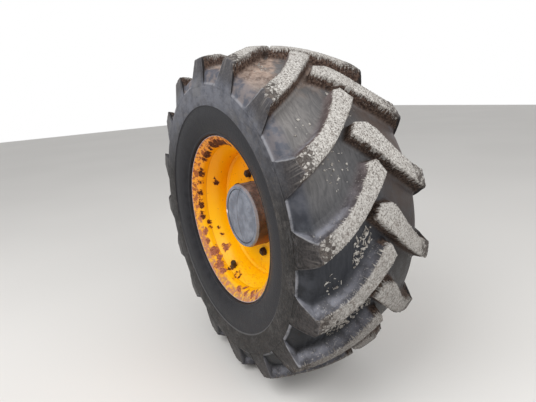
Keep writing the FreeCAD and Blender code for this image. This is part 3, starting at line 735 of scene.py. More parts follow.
tongue_faces = [(0, 1, 2, 3), (15, 14, 13, 12)] + ring_faces(4, 4)
dice = np.random.default_rng(5)
tongues = []
for side, first_angle, outline, crusted_upper in ROWS:
    loops, layers, inner = lug_loops(outline, crusted_upper)
    flank = np.stack(loops) * (1, 1, MAP_RADIUS)
    depths = np.stack(layers["depth"])
    lean_out = pushed(outline, np.full(AROUND, 0.001)) - outline
    outward = np.stack([np.zeros(AROUND), lean_out[:, 1], lean_out[:, 0]], axis=-1)
    edges = [spot for spot in range(2, AROUND - 2) if outline[spot, 1] < FRINGE_END]
    for number in range(LUG_COUNT):
        turn = math.radians(first_angle + LUG_PITCH * number)
        for count in range(TONGUES_PER_LUG):
            at = int(dice.choice(edges))
            if noise.noise(Vector((at * 0.19, number * 3.7, side * 5.3))) < -0.04:
                continue
            wide, thick = dice.uniform(0.0008, 0.0022), dice.uniform(0.0006, 0.0018)
            length, wander = 0.003 + 0.013 * dice.uniform() ** 2, dice.uniform(-0.0012, 0.0012)
            rings = tongue(flank, depths, outward, at, wide, thick, length, wander)
            tongues.append(polar(rings[:, 0], rings[:, 1] * side, rings[:, 2] / MAP_RADIUS + turn))
dust_fringe = make_mesh("dust_fringe", *joined(tongues, tongue_faces), sharp=50)
print("tongues of dust:", len(tongues))

# %% [markdown]
# ## Rubber, where it is bare
# The carcass shows four looks. Inside the ring line the sidewall is dark and plain, outside it
# is scuffed, and towards the top it is painted lighter blue grey as sky light; low down a pale
# line on the ring line's step is a painted highlight. The floors of the grooves are smooth blue
# grey with fine streaks that run the way the tyre rolls, and brown mud has dried on the
# uppermost ones; their base tone is painted shade, near black low down. The pockets on the
# shoulder are clean, their floors painted near black low down as shade and blue grey towards
# the top as sky sheen, with a pale line at their step that is a painted highlight.
# The feet of the lugs flow into these floors, so the same short graph is built into both
# finishes, and the patterns meet because both read the same object coordinates.

# %% Look of the bare rubber
RING_LINE = 0.3718


def bare_rubber(finish):
    """Tones, roughness and noises of bare rubber, for the carcass and the feet of the lugs."""
    radius, along, height = finish.axes()
    beside = abs(along)
    large, medium, small = finish.noise(9, 3), finish.noise(38, 4), finish.noise(150, 4, 0.65)
    unit = (finish.place * (1, 0, 1)).math("NORMALIZE")
    around = unit * (9, 0, 9)
    streaks = finish.noise(1.0, 5, 0.65, around + finish.place * (0, 80, 0), 1.4)
    outward = finish.node("ShaderNodeCombineXYZ", {1: radius * 120.0})
    scrapes = finish.noise(1.0, 4, 0.65, around + outward, 1.6)

    plain = medium.tones(0.3, 0.7, (28, 28, 32), (42, 42, 46))
    smudged = finish.noise(14, 4, 0.6).ramp(0.48, 0.68, 0.0, 0.4)
    # Lighter blue grey towards the top is painted sky light, with real smudges on it.
    sky_light_and_smudges = medium.tones(0.32, 0.66, (76, 78, 87), (114, 116, 125)).coated((smudged, (122, 119, 116)))
    patchy = finish.noise(24, 5, 0.72).ramp(0.50, 0.68) * small.ramp(0.4, 0.6, 0.1, 0.5)
    scraped = scrapes.ramp(0.52, 0.70) * height.ramp(-0.3, 0.3, 0.12, 0.36) * large.ramp(0.36, 0.56, 0.2, 1.0)
    scuffed = small.tones(0.40, 0.66, (23, 21, 21), (46, 43, 41)).coated(
        (height.ramp(0.08, 0.42, 0.0, 0.85), sky_light_and_smudges),
        (patchy, (90, 86, 84)),
        (scraped, (128, 127, 130)),
        (scrapes.ramp(0.32, 0.46, 0.25, 0.0), (40, 40, 43)))
    # A pale line on the ring line's step, low down only, is a painted highlight.
    ring_step_highlight = abs(radius - RING_LINE).ramp(0.0006, 0.0030, 0.5, 0.0) * height.ramp(-0.22, 0.0, 1.0, 0.0)
    side = radius.ramp(0.3712, 0.3722).mix(plain, scuffed).coated((ring_step_highlight, (104, 103, 104)))

    settled = height.ramp(-0.02, 0.44) * streaks.ramp(0.30, 0.68, 0.45, 0.85) * along.ramp(-0.13, -0.03, 1.0, 0.5)
    muddy = (large + medium * 0.35).ramp(0.55, 0.72, 0.0, 0.95)
    muddy = muddy * height.ramp(0.36, 0.46) * beside.ramp(0.172, 0.192, 1.0, 0.35)
    grainy = small.ramp(0.44, 0.64, 0.0, 0.5)
    mud = medium.tones(0.30, 0.66, (96, 76, 65), (164, 143, 130)).coated((grainy, (180, 165, 154)))
    cloudy = medium.ramp(0.3, 0.7, 0.0, 0.22) * height.ramp(-0.25, 0.05, 0.3, 1.0)
    stained = medium.ramp(0.44, 0.60, 0.0, 0.65) * height.ramp(0.10, 0.42)
    # The pocket floors are painted light: near black low down as shade, blue grey towards the top as sky sheen, with
    # real stains on top.
    pocket_light_and_stains = height.tones(-0.20, 0.06, (8, 8, 10), (30, 32, 37)).coated(
        (height.ramp(0.04, 0.30), (72, 76, 88)),
        (cloudy, (120, 123, 132)),
        (stained, (130, 119, 116)))
    splashed = along.ramp(0.0, 0.10) * medium.ramp(0.30, 0.60, 0.5, 0.9)
    # The floor's base tone is painted shade: near black low down, lighter towards the top.
    floor_tone = height.tones(-0.26, 0.06, (17, 18, 21), (44, 46, 51)).coated(
        (streaks.ramp(0.34, 0.66, 0.0, 0.3), (70, 72, 78)),
        (settled, (146, 142, 139)),
        (muddy, mud),
        (beside.ramp(0.158, 0.184, 0.0, 0.85), pocket_light_and_stains),
        (splashed, height.tones(-0.10, 0.30, (46, 42, 41), (82, 71, 66))))
    # A pale line at the pocket's step is a painted highlight.
    edge_highlight_and_wear = radius.ramp(0.4318, 0.4345) * radius.ramp(0.4370, 0.4405, 1.0, 0.0)
    edge_highlight_and_wear = edge_highlight_and_wear * medium.ramp(0.32, 0.56, 0.15, 0.85) * height.ramp(-0.44, -0.20, 0.25, 1.0)
    tone = radius.ramp(0.4335, 0.4365).mix(side, floor_tone).coated((edge_highlight_and_wear, (136, 136, 141)))
    rough = muddy.blend(medium.ramp(0.3, 0.7, 0.38, 0.52), 0.9)
    return SimpleNamespace(tone=tone, side=side, rough=rough, medium=medium, small=small, beside=beside,
                           height=height, radius=radius, unit=unit)


carcass_rubber = Finish("bare_tyre_rubber", specular=0.2)
look = bare_rubber(carcass_rubber)
carcass_rubber.set("Base Color", look.tone)
carcass_rubber.set("Roughness", look.rough)
carcass_rubber.rough_up(look.small, 0.0007)
dress(tyre_carcass, carcass_rubber, "wheel", "tyre_rubber", "tyre")

# %% [markdown]
# ## Rubber, where it is caked
# The tops of the lugs are caked with pale stone dust, broken by darker grit, and painted darker
# low on the wheel as shade. Towards the shoulder the cake has cracked into flakes and lost some
# of them, and it ends raggedly where the lug folds over. Below the fold the buttress is plain
# rubber that turns into the sidewall's own tone, with dust poured down it and a pale line along
# its top edge that is a painted highlight. The flanks are crusty and brown, only the upper ones
# of the outer row are smooth, and a fringe of dust hangs over their edge in short streaks. Low
# on the wheel the smooth flanks are blue grey, partly the rubber's tone, partly a painted sky
# reflection; a pale band along their fillet is a painted sky reflection, and the pale slope under
# the shoulder is painted darker low down as shade. The numbers that were stored on the loops lead
# all of this: the streaks are a noise on run and depth, stretched so that it always lies square
# to the edge.

# %% Lug rubber: flanks and buttress
caked = Finish("dusty_lug_rubber", specular=0.2)
look = bare_rubber(caked)
medium, small, beside, height, radius = look.medium, look.small, look.beside, look.height, look.radius
grit, stones = caked.noise(240, 2, 0.6), caked.noise(110, 3, 0.7)
zone, depth, run, crusted = (caked.attribute(name) for name in LAYERS)
drips = caked.node("ShaderNodeCombineXYZ", {0: run * 210.0, 1: depth * 36.0})
drips = caked.noise(1.0, 3, 0.6, drips)
wavering = beside + (medium - 0.5) * 0.05
folded = wavering.ramp(0.1820, 0.1900)

high_crust = small.tones(0.38, 0.64, (58, 44, 38), (108, 88, 77))
crust = small.tones(0.38, 0.64, (44, 35, 31), (88, 73, 64)).coated((height.ramp(0.20, 0.46, 0.0, 0.8), high_crust))
# Low on the wheel the smooth flanks are blue grey, partly the rubber's tone, partly a painted sky reflection.
low_sleek = medium.tones(0.3, 0.7, (50, 51, 56), (92, 93, 101))
high_sleek = medium.tones(0.3, 0.7, (76, 66, 65), (108, 95, 93))
# A pale blue grey band along the fillet is a painted sky reflection.
painted_sky_reflection = zone.ramp(0.08, 0.30) * zone.ramp(0.42, 0.66, 1.0, 0.0) * beside.ramp(0.05, 0.15, 0.1, 0.75)
painted_sky_reflection = painted_sky_reflection * medium.ramp(0.34, 0.60, 0.25, 0.9) * height.ramp(-0.40, -0.10, 0.5, 1.0)
sprinkled = grit.ramp(0.58, 0.66) * stones.ramp(0.44, 0.60, 0.0, 0.75)
sleek = height.ramp(0.02, 0.30).mix(low_sleek, high_sleek).coated(
    (painted_sky_reflection, (142, 144, 153)),
    (sprinkled, (170, 166, 162)))
# The pale slope is painted darker low down on the wheel as shade.
slope = medium.tones(0.3, 0.7, (90, 91, 98), (120, 121, 129)).coated(
    (height.ramp(-0.46, -0.16, 0.8, 0.0), (40, 38, 39)),
    (crusted, (42, 39, 39)))
flank = crusted.mix(sleek, crust).coated((folded, slope))

poured = caked.noise(1.0, 3, 0.6, look.unit * (80, 0, 80) + caked.place * (0, 30, 0)).ramp(0.48, 0.66, 0.0, 0.6)
poured = poured * radius.ramp(0.455, 0.515) * height.ramp(-0.2, 0.3, 0.35, 1.0)
buttress = small.tones(0.35, 0.65, (44, 41, 41), (66, 62, 62)).coated(
    (poured, (140, 134, 128)),
    (radius.ramp(0.434, 0.478, 1.0, 0.25), look.side))
on_top, unfolded = zone.ramp(0.79, 0.93), 1.0 - folded
fold_line = folded * crusted.ramp(0.0, 1.0, 0.75, 0.12)
# A pale line at the buttress's top edge is a painted highlight.
top_edge_highlight = zone.ramp(0.70, 0.80) * zone.ramp(0.93, 0.975, 1.0, 0.0) * fold_line
top_edge_highlight = top_edge_highlight * medium.ramp(0.32, 0.56, 0.3, 1.0) * height.ramp(-0.46, -0.24, 0.25, 1.0)
bare_top = small.tones(0.36, 0.64, (66, 60, 57), (112, 104, 98))
tone = zone.ramp(0.06, 0.36).mix(look.tone, flank).coated(
    (on_top * folded, buttress),
    (top_edge_highlight, (146, 146, 150)),
    (on_top * unfolded, bare_top),
    (folded * radius.ramp(0.4345, 0.4400, 1.0, 0.0), look.side))
print("lug rubber:", len(caked.tree.nodes), "nodes under the dust")

# %% Lug rubber: the cake of dust
FLAKES = 105
loosened = wavering.ramp(0.125, 0.180)
lost = caked.cells(FLAKES, output="Color").math("GREATER_THAN", 1.0 - loosened * 0.5)
cracks = caked.cells(FLAKES, feature="DISTANCE_TO_EDGE").ramp(0.04, 0.16, 1.0, 0.0)
gaps = (cracks * loosened).math("MAXIMUM", lost)
gritty = grit.ramp(0.35, 0.48, 1.0, 0.0) * height.ramp(-0.10, 0.30, 0.45, 0.85)
pale_grains = grit.ramp(0.54, 0.62) * height.ramp(-0.10, 0.35, 0.12, 0.5)
# The dust is painted darker low down on the wheel as shade.
dust = height.tones(-0.40, 0.30, (78, 74, 71), (171, 167, 162)).coated(
    (small.ramp(0.36, 0.62, 0.0, height.ramp(-0.42, -0.05, 0.2, 0.5)), (206, 203, 198)),
    (medium.ramp(0.34, 0.52, 0.30, 0.0), (124, 115, 108)),
    (stones.ramp(0.36, 0.46, 0.65, 0.0), (104, 95, 88)),
    (gritty, (90, 84, 80)),
    (pale_grains, (230, 228, 223)),
    (gaps * 0.85, (54, 47, 44)))
torn = medium + beside.ramp(0.12, 0.19, 0.0, 0.16) + small * 0.5
held = on_top * torn.ramp(0.86, 0.93, 1.0, 0.0)
reach = crusted.blend(0.0225, 0.0320) + (medium - 0.5) * 0.030
fringe = (depth + drips * 0.055).ramp(reach, reach + 0.007, 0.9, 0.0)
flecks = grit.ramp(0.60, 0.66) * (crusted * 0.25)
loose = fringe.math("MAXIMUM", flecks) * zone.ramp(0.25, 0.55)
share = held.math("MAXIMUM", loose) * unfolded
crusty = crusted * zone.ramp(0.1, 0.4)
caked.set("Base Color", share.mix(tone, dust))
caked.set("Roughness", share.math("MAXIMUM", crusty).blend(look.rough, 0.92))
caked.rough_up(small, crusty.blend(0.0008, 0.0030))
caked.rough_up(grit - gaps, share.blend(0.0002, 0.0012))
dress(tread_lugs, caked, "wheel", "tyre_rubber", "tyre")

# %% [markdown]
# The crumbs and the fringe are the same stone dust, dried hard: pale grey, matt, with a fine grain,
# and painted darker low down on the wheel as shade.

# %% Crumb finish
crumbly = Finish("dried_mud_crumbs", roughness=0.95, specular=0.2)
dry_mud = crumbly.noise(120, 3).tones(0.35, 0.65, (116, 110, 104), (192, 188, 182))
# Crumbs and fringe are painted darker low down as shade.
painted_low_shade = crumbly.axes()[2].ramp(-0.42, 0.08, 0.75, 0.0)
crumbly.set("Base Color", dry_mud.coated((painted_low_shade, (84, 79, 75))))
crumbly.rough_up(crumbly.noise(700, 3), 0.0008)
dress(mud_crumbs, crumbly, "wheel", "tyre_rubber")
dress(dust_fringe, crumbly, "wheel", "tyre_rubber")

# %% [markdown]
# ## The rim
# The rim is one rolled section: a sloped flange that holds the tyre's bead, the seat under it, a
# slope down to the well, and the same again on the far side. The frame has it with plain
# corners. Rolled steel has soft ones, and their highlights are what makes a painted rim read as
# pressed metal, so a finer turned section stands for it here.

# %% Rim
rim_section = rounded([
    (0.2788, -0.1652, 0.002), (0.2788, -0.1728, 0.0035), (0.2462, -0.1466, 0.008), (0.2436, -0.1268, 0.0030),
    (0.2152, -0.0905, 0.030), (0.2152, -0.0050, 0.006),
    (0.2426, 0.0240, 0.006), (0.2426, 0.1268, 0.003), (0.2462, 0.1466, 0.008), (0.2788, 0.1728, 0.0035),
    (0.2788, 0.1652, 0.002), (0.2540, 0.1450, 0.006), (0.2510, 0.1250, 0.003),
    (0.2505, 0.0210, 0.006), (0.2230, -0.0080, 0.006), (0.2230, -0.0960, 0.006), (0.2510, -0.1250, 0.004),
    (0.2540, -0.1450, 0.006),
])
rim_shell = make_mesh("rim_shell", *turned(rim_section, 256), sharp=60)
print("rim section:", len(rim_section), "points")

# %% [markdown]
# ## Orange paint with rust
# The paint is thick and deep in colour, so its highlights are kept low. Stones have broken it,
# and rust has spread from each chip. A noise alone would scatter rust evenly, but on the real
# rim it sits in places of its own: a long patch under the top of the flange, a chain of small
# ones down the side, wide pink brown ones low down and a ring round the valve. So each patch is
# a distance from a place on the rim, all of them are joined by their minimum, and a noise frays
# their outlines. Fine freckles on the flange still come from a noise.

# %% Rim paint
# Patches as (angle in degrees, radius, place along the axle, size), lengths in millimetres.
BROWN_PATCHES = [
    (80, 249, -153, 12), (87, 248, -152, 19), (94, 248, -152, 22), (101, 248, -152, 23), (109, 248, -152, 21),
    (116, 248, -151, 13), (123, 247, -150, 13), (128, 246, -148, 19), (134, 245, -150, 14), (151, 247, -150, 15),
    (146, 248, -153, 11), (160, 247, -151, 12), (170, 247, -151, 14), (181, 247, -151, 15), (188, 247, -151, 10),
    (192, 247, -151, 13), (176, 248, -152, 9), (124, 215, -51, 5), (158.8, 222.5, -99, 13), (153.7, 226, -104, 6),
    (-162.7, 244, -132, 11), (-157.8, 244, -133, 9), (67, 266, -166, 14), (60, 262, -163, 9),
    (-147.7, 225.6, -103, 8), (-155, 228.6, -107, 6), (-113, 236, -114, 15), (-113, 243, -130, 9),
    (30, 244, -150, 12), (12, 246, -156, 9), (-20, 245, -150, 12), (48, 225, -102, 9), (-38, 226, -104, 8),
]
PINK_PATCHES = [
    (-134.5, 226.4, -104.5, 17), (-135.7, 246, -148, 22), (-123, 246, -155, 22), (-115, 246, -153, 17),
    (-129, 246, -140, 14), (-155, 248, -156, 14), (-147, 249, -157, 12), (-101, 244, -130, 9),
    (-87, 250, -154, 15), (-75, 250, -154, 11), (-64, 251, -154, 15), (-53, 266, -166, 12),
    (-168, 248, -154, 12), (-178, 250, -154, 8), (-81, 244, -140, 9), (-57, 246, -146, 10),
]
# A ring of rust round the valve's foot: its middle and its radius, in metres.
FOOT_RING, FOOT_RING_RADIUS = tuple(polar(0.2385, -0.1190, math.radians(-102))), 0.013


def nearest_patch(finish, patches):
    """The smallest distance to a patch, less its size, in metres."""
    nearest = None
    for angle, radius, along, size in patches:
        spot = tuple(polar(radius / 1000, along / 1000, math.radians(angle)))
        away = finish.place.math("DISTANCE", spot) - size / 1000
        nearest = nearest.math("MINIMUM", away) if nearest else away
    return nearest


paint = Finish("rusty_orange_paint", roughness=0.38, specular=0.22)
radius, along, height = paint.axes()
outward = along * -1.0
blotch, fine = paint.noise(70, 4, 0.6), paint.noise(190, 4, 0.6)
fray = blotch * 0.030 + fine * 0.016 - 0.0205
foot_ring = abs(paint.place.math("DISTANCE", FOOT_RING) - FOOT_RING_RADIUS) - 0.0045
brown = nearest_patch(paint, BROWN_PATCHES).math("MINIMUM", foot_ring) + fray
pink = nearest_patch(paint, PINK_PATCHES) + (fray + (paint.noise(46, 3) - 0.5) * 0.035)
halo = brown.math("MINIMUM", pink).ramp(0.0, 0.0055, 0.6, 0.0)
is_brown = brown.ramp(-0.0010, 0.0006, 1.0, 0.0)
is_pink = pink.ramp(-0.0020, 0.0012, 0.9, 0.0)
lip = radius.ramp(0.2490, 0.2600) * outward.ramp(0.14, 0.15)
freckled = (blotch + fine * 0.35 + lip * 0.175).ramp(0.855, 0.890)
# A darker orange line in the crease between seat and slope is painted shade.
crease = abs(outward - 0.1262).ramp(0.0008, 0.0030, 0.55, 0.0) * radius.ramp(0.2425, 0.2432)
# A pale line along the flange's outer edge is partly a painted highlight, partly rubbed paint.
edge_highlight_and_wear = radius.ramp(0.2745, 0.2772) * blotch.ramp(0.28, 0.42, 0.45, 0.9)
runs = paint.noise(1.0, 3, 0.6, paint.place * (60, 260, 60), 0.6).ramp(0.48, 0.72, 0.0, 0.5)
# The paint is painted deeper orange towards the top as shade and yellower low down as light; the freckles follow it.
height_for_painted_shade = height + paint.noise(8, 2) * 0.12
weathered = height.tones(-0.24, -0.04, (152, 114, 104), (226, 146, 84))
paint.set("Base Color", height_for_painted_shade.ramp(-0.10, 0.22, 1.0, 0.0).mix((255, 168, 0), (255, 194, 4)).coated(
    (lip * blotch.ramp(0.36, 0.60, 0.2, 0.85), weathered),
    (crease, (196, 104, 10)),
    (runs * height.ramp(-0.15, -0.21), (226, 96, 24)),
    (halo, (214, 112, 26)),
    (freckled * 0.85, height_for_painted_shade.tones(-0.15, 0.15, (196, 132, 104), (150, 80, 44))),
    (is_pink, fine.tones(0.36, 0.62, (112, 58, 46), (172, 108, 90))),
    (is_brown, fine.tones(0.36, 0.62, (58, 30, 16), (112, 62, 30))),
    (edge_highlight_and_wear, (178, 164, 168))))
bare = is_brown.math("MAXIMUM", is_pink).math("MAXIMUM", freckled * 0.7)
paint.set("Roughness", bare.blend(fine.ramp(0.3, 0.7, 0.30, 0.42), 0.88))
paint.rough_up(1.0 - bare, 0.0006)
paint.rough_up(fine, bare.blend(0.00006, 0.0009))
dress(rim_shell, paint, "wheel", "rim_paint", "rim")
repaint(paint, "wheel_disc")

# %% [markdown]
# ## The valve
# A snap-in valve is one rubber body round a brass tube: a wide foot in the rim's slope, a waist,
# and a ribbed cap. This one is thick and short and leans outwards a little. Its line is a row of
# points, and a ring of points with its own radius is set square to the line at each of them.

# %% Valve
VALVE_ANGLE = math.radians(-113)
# Rings as (distance from the axle, place along it, radius of the ring).
VALVE_RINGS = [
    (0.2450, -0.1120, 0.0070), (0.2400, -0.1124, 0.0112), (0.2345, -0.1130, 0.0114), (0.2310, -0.1134, 0.0108),
    (0.2270, -0.1140, 0.0096), (0.2235, -0.1146, 0.0088), (0.2222, -0.1148, 0.0088), (0.2218, -0.1149, 0.0096),
    (0.2205, -0.1151, 0.0098), (0.2160, -0.1159, 0.0098), (0.2120, -0.1166, 0.0096), (0.2104, -0.1169, 0.0086),
]
RING_POINTS = 24
line = np.array([polar(radius, place, VALVE_ANGLE) for radius, place, size in VALVE_RINGS])
beside = np.array([-math.sin(VALVE_ANGLE), 0, math.cos(VALVE_ANGLE)])
valve_points = []
for number, (radius, place, size) in enumerate(VALVE_RINGS):
    ahead = line[min(number + 1, len(line) - 1)] - line[max(number - 1, 0)]
    ahead /= np.linalg.norm(ahead)
    across = np.cross(ahead, beside)
    for step in range(RING_POINTS):
        turn = 2 * math.pi * step / RING_POINTS
        groove = 1 - 0.05 * (step % 2) * (8 <= number <= 10)
        valve_points.append(line[number] + size * groove * (beside * math.cos(turn) + across * math.sin(turn)))
ends = (0, len(valve_points) - RING_POINTS)
valve_faces = [tuple(range(first, first + RING_POINTS)) for first in ends] + ring_faces(len(VALVE_RINGS), RING_POINTS)
rubber_valve = make_mesh("rubber_valve", valve_points, valve_faces, sharp=50)
print("valve:", len(VALVE_RINGS), "rings")

# %% [markdown]
# ## Nuts on their studs
# Each stud comes through the hub's flange and the disc, with a hexagon head behind, a nut with a
# turned washer face in front, and a short end of thread. In the frame they are plain prisms. A
# real nut has its corners turned off by a cone, and that rounded top edge is what the eye
# expects, so each set is one loft of rings whose radius follows a hexagon or a circle.

# %% Nuts and studs
STUD_RADIUS = 0.009
STUD_CIRCLE = 0.1375
STUD_COUNT = 8
FIRST_STUD = 104
DISC_FACE = AXLE_Y - 0.0485
stud_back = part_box("wheel_studs")[1][1]
NUT_STEPS = 48
turns = np.linspace(0, 2 * math.pi, NUT_STEPS, endpoint=False)


def hexagon(flat):
    """Radii of a hexagon of a given width across flats, for all turns."""
    return flat / 2 / np.cos((turns + math.pi / 6) % (math.pi / 3) - math.pi / 6)


def turned_off(flat, edge):
    """Height that a cone takes off a hexagon's corners, and the radii left at the top."""
    return np.maximum(hexagon(flat) - edge, 0) * 0.55, np.minimum(hexagon(flat), edge)


circle = np.ones(NUT_STEPS)
drop, crown = turned_off(0.025, 0.0122)
head_drop, head_crown = turned_off(0.024, 0.0118)
head_depth = DISC_FACE - (stud_back - 0.008)
# Rings from the stud's outer end to the back of its head, as (radii, heights over the disc).
nut_rings = [(circle * 0.0010, 0.0176), (circle * 0.0074, 0.0176), (circle * STUD_RADIUS, 0.0160)]
for turn in range(2):
    nut_rings += [(circle * STUD_RADIUS, 0.0154 - turn * 0.0016), (circle * 0.0083, 0.0149 - turn * 0.0016)]
nut_rings += [
    (circle * STUD_RADIUS, 0.0126), (circle * 0.0104, 0.0130), (crown, 0.0134), (hexagon(0.025), 0.0134 - drop),
    (hexagon(0.025), 0.0026), (circle * 0.0138, 0.0022), (circle * 0.0144, 0.0016), (circle * 0.0144, 0.0),
    (circle * STUD_RADIUS, 0.0), (circle * STUD_RADIUS, head_depth), (hexagon(0.024), head_depth),
    (hexagon(0.024), head_depth - 0.008 + head_drop), (head_crown, head_depth - 0.008),
    (circle * 0.0010, head_depth - 0.008),
]
nut_copies = []
for number in range(STUD_COUNT):
    angle = math.radians(FIRST_STUD + 360 / STUD_COUNT * number)
    middle = polar(STUD_CIRCLE, 0, angle)
    twist = turns + angle + 0.6 * math.sin(7.3 * number)
    nut_copies.append(np.concatenate([np.stack([
        middle[0] + radii * np.cos(twist), DISC_FACE - height * circle, middle[2] + radii * np.sin(twist)], axis=-1)
        for radii, height in nut_rings]))
ends = (0, (len(nut_rings) - 1) * NUT_STEPS)
nut_faces = ring_faces(len(nut_rings), NUT_STEPS) + [tuple(range(first, first + NUT_STEPS)) for first in ends]
nuts_on_studs = make_mesh("nuts_on_studs", *joined(nut_copies, nut_faces), sharp=35)
print("studs through", round((stud_back - DISC_FACE) * 1000, 1), "mm of disc, flange and head")

# %% [markdown]
# ## Hub drum and cover
# The reduction drum stands out through the disc. Its end is painted blue grey and worn dull, and
# its side is bare iron, purple brown with rust, lighter at the top, with painted shade below it
# and a painted orange reflection of the rim at the bottom. Both live on one solid, so the finish
# looks at the place along the axle: in front of the drum's bevel it is paint, behind it the rusty
# side. The bevel's edge is pale, partly rubbed, partly a painted highlight, with a painted white
# highlight on its left, and the let-in cover has a dark line of dirt round it.

# %% Iron and worn paint
COVER_RADIUS = 0.0940
# The long scratch is part of a circle: its middle and its radius, in metres.
SCRATCH_MIDDLE, SCRATCH_RADIUS = (0.1106, AXLE_Y - 0.1137, 0.0026), 0.1358
# A painted white highlight on the bevel's left edge: its place, in metres.
HIGHLIGHT_PLACE = tuple(polar(0.1010, -0.1130, math.radians(182)))
iron = Finish("rusty_drum_iron", roughness=0.8, specular=0.4)
radius, along, height = iron.axes()
fine, blotch = iron.noise(160, 4, 0.65), iron.noise(30, 4)
# The side's tone is painted light: lighter at the top, painted shade below, and a painted orange reflection of the
# rim at the bottom.
upper = blotch.tones(0.35, 0.65, (84, 79, 81), (124, 115, 112)).coated((fine.ramp(0.5, 0.7), (60, 50, 47)))
shaded = blotch.tones(0.35, 0.65, (56, 45, 41), (86, 70, 62))
low = (height + blotch * 0.05).ramp(-0.070, -0.010, 0.8, 0.0)
rust_and_painted_light = height.ramp(-0.01, 0.08).mix(shaded, upper).coated((low, (152, 96, 46)))
scratch = abs(iron.place.math("DISTANCE", SCRATCH_MIDDLE) - SCRATCH_RADIUS)
highlight_spot = iron.place.math("DISTANCE", HIGHLIGHT_PLACE) + fine * 0.008
# The bevel's pale edge is partly rubbed paint, partly a painted highlight; the white spot is a painted highlight.
worn_grey_and_highlights = blotch.tones(0.35, 0.7, (106, 112, 124), (136, 142, 154)).coated(
    (fine.ramp(0.62, 0.7, 0.0, 0.7), (74, 68, 68)),
    (abs(radius - COVER_RADIUS).ramp(0.0004, 0.0018, 0.5, 0.0), (44, 46, 52)),
    (scratch.ramp(0.0006, 0.0024, 0.8, 0.0), (58, 60, 66)),
    (radius.ramp(0.1030, 0.1046) * fine.ramp(0.35, 0.5, 0.2, 0.6), (146, 150, 158)),
    (highlight_spot.ramp(0.0085, 0.0125, 0.95, 0.0), (230, 231, 234)))
front = (along * -1.0 + fine * 0.003).ramp(0.1065, 0.1090)
iron.set("Base Color", front.mix(rust_and_painted_light, worn_grey_and_highlights))
iron.set("Roughness", front.blend(0.85, 0.48))
iron.rough_up(fine, front.blend(0.0012, 0.0003))
iron.rough_up(blotch, 0.001)
repaint(iron, "hub_drum", "hub_cover")

# %% [markdown]
# ## Small steel, rubber and the castings behind
# Nuts and studs are near black with rust, the valve is grimy rubber. The hub behind the disc is
# rough cast iron. The axle arm was painted black and is dusty, its seal is plain rubber and the
# half shaft is oiled steel. Each finish is a short graph: two tones, grain and relief.

# %% Plain finishes


def plain(name, tones, spot, roughness, grain=120, depth=0.0006, metallic=0.0, spots=(0.6, 0.7)):
    """Two tones mixed by a broad noise, and spots of a third, roughness and relief by a fine one."""
    finish = Finish(name, metallic=metallic, specular=0.4)
    fine = finish.noise(grain, 4, 0.65)
    finish.set("Base Color", finish.noise(24, 3).tones(0.35, 0.65, *tones).coated((fine.ramp(*spots), spot)))
    finish.set("Roughness", fine.ramp(0.3, 0.7, *roughness))
    finish.rough_up(fine, depth)
    return finish


rusty_steel = plain("rusty_bolt_steel", [(40, 29, 24), (62, 43, 33)], (112, 66, 36), (0.6, 0.85), 220, 0.0008)
valve_rubber = plain("grimy_valve_rubber", [(58, 40, 24), (92, 64, 36)], (128, 80, 34), (0.55, 0.8), 260, 0.0003)
dress(nuts_on_studs, rusty_steel, "wheel", "bolt_steel", "wheel_nuts", "wheel_studs")
dress(rubber_valve, valve_rubber, "wheel", "valve_rubber", "valve_stem", "valve_cap")
arm_paint = plain("black_arm_paint", [(34, 34, 36), (50, 49, 49)], (88, 60, 44), (0.4, 0.7), 70, spots=(0.61, 0.69))
facing = arm_paint.node("ShaderNodeTexCoord", {}, "Normal")
facing = arm_paint.node("ShaderNodeSeparateXYZ", {0: facing}, 2)
settled = (facing + arm_paint.noise(34, 4, 0.65)).ramp(0.75, 1.45, 0.0, 0.9)
splashes = arm_paint.noise(15, 5, 0.7).ramp(0.50, 0.72, 0.0, 0.35)
arm_paint.set("Base Color", arm_paint.tone().coated((settled.math("MAXIMUM", splashes), (118, 110, 101))))
repaint(arm_paint, "axle_arm")
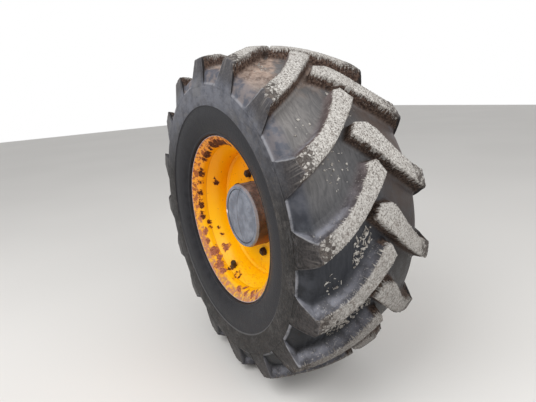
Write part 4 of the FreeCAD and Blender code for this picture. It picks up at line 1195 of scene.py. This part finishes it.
for nodes, settings in (
        (["hub"], ("cast_hub_iron", [(74, 60, 52), (104, 84, 70)], (52, 42, 38), (0.7, 0.9), 180, 0.0012)),
        (["seal_ring"], ("seal_rubber", [(30, 30, 31), (44, 43, 43)], (80, 72, 64), (0.5, 0.75), 160, 0.0003)),
        (["half_shaft"], ("oiled_shaft_steel", [(150, 148, 144), (178, 176, 172)], (104, 92, 78), (0.25, 0.45), 140,
                          0.0002, 1.0)),
        (["arm_plug", "drum_plug"], ("dull_plug_steel", [(112, 106, 100), (142, 136, 128)], (84, 62, 48),
                                     (0.45, 0.7), 200, 0.0003, 0.6))):
    repaint(plain(*settings), *nodes)

# %% [markdown]
# ## Floor, sky and lamps
# The wheel stands on a plain pale floor under soft light from above, like the overcast day it
# was seen on. One wide lamp from the camera's side shapes the lugs, and the sky fills the rest
# so that a colour comes out about as it is written. The camera and reflections see a white
# background, while the light on the object stays at its plain level.

# %% Floor, world and lamps
floor_mesh = bpy.data.meshes.new("floor")
FLOOR_REACH = 12
corners = [(x * FLOOR_REACH, y * FLOOR_REACH, -TYRE_RADIUS) for x, y in ((-1, -1), (1, -1), (1, 1), (-1, 1))]
floor_mesh.from_pydata(corners, [], [(0, 1, 2, 3)])
floor_item = bpy.data.objects.new("floor", floor_mesh)
bpy.context.scene.collection.objects.link(floor_item)
pale = Finish("pale_floor", roughness=0.8, specular=0.2)
pale.set("Base Color", pale.noise(0.7, 2).tones(0.3, 0.7, (229, 227, 224), (232, 230, 227)))
floor_mesh.materials.append(pale.material)

world = bpy.data.worlds.new("sky")
world.use_nodes = True
bpy.context.scene.world = world
sky = Graph(world.node_tree)
SKY_LIGHT = 0.55
seen = sky.node("ShaderNodeLightPath", {}, "Is Camera Ray")
for ray in ("Is Glossy Ray", "Is Transmission Ray"):
    seen = seen.math("MAXIMUM", sky.node("ShaderNodeLightPath", {}, ray))
background = sky.tree.nodes["Background"]
sky.plug(background.inputs["Color"], (1, 1, 1, 1))
sky.plug(background.inputs["Strength"], sky.node("ShaderNodeMapRange", {"Value": seen, "To Min": SKY_LIGHT}))


def lamp(name, place, aim, size, power):
    """A soft square lamp at a place, turned towards a point."""
    light = bpy.data.lights.new(name, "AREA")
    light.size = size
    light.energy = power
    item = bpy.data.objects.new(name, light)
    item.location = place
    item.rotation_euler = (Vector(aim) - Vector(place)).to_track_quat("-Z", "Y").to_euler()
    bpy.context.scene.collection.objects.link(item)


middle = (0, AXLE_Y, 0)
lamp("key_lamp", (0.6, -2.6, 2.6), middle, 2.2, 75)
lamp("side_lamp", (2.8, 0.2, 1.8), middle, 1.8, 40)
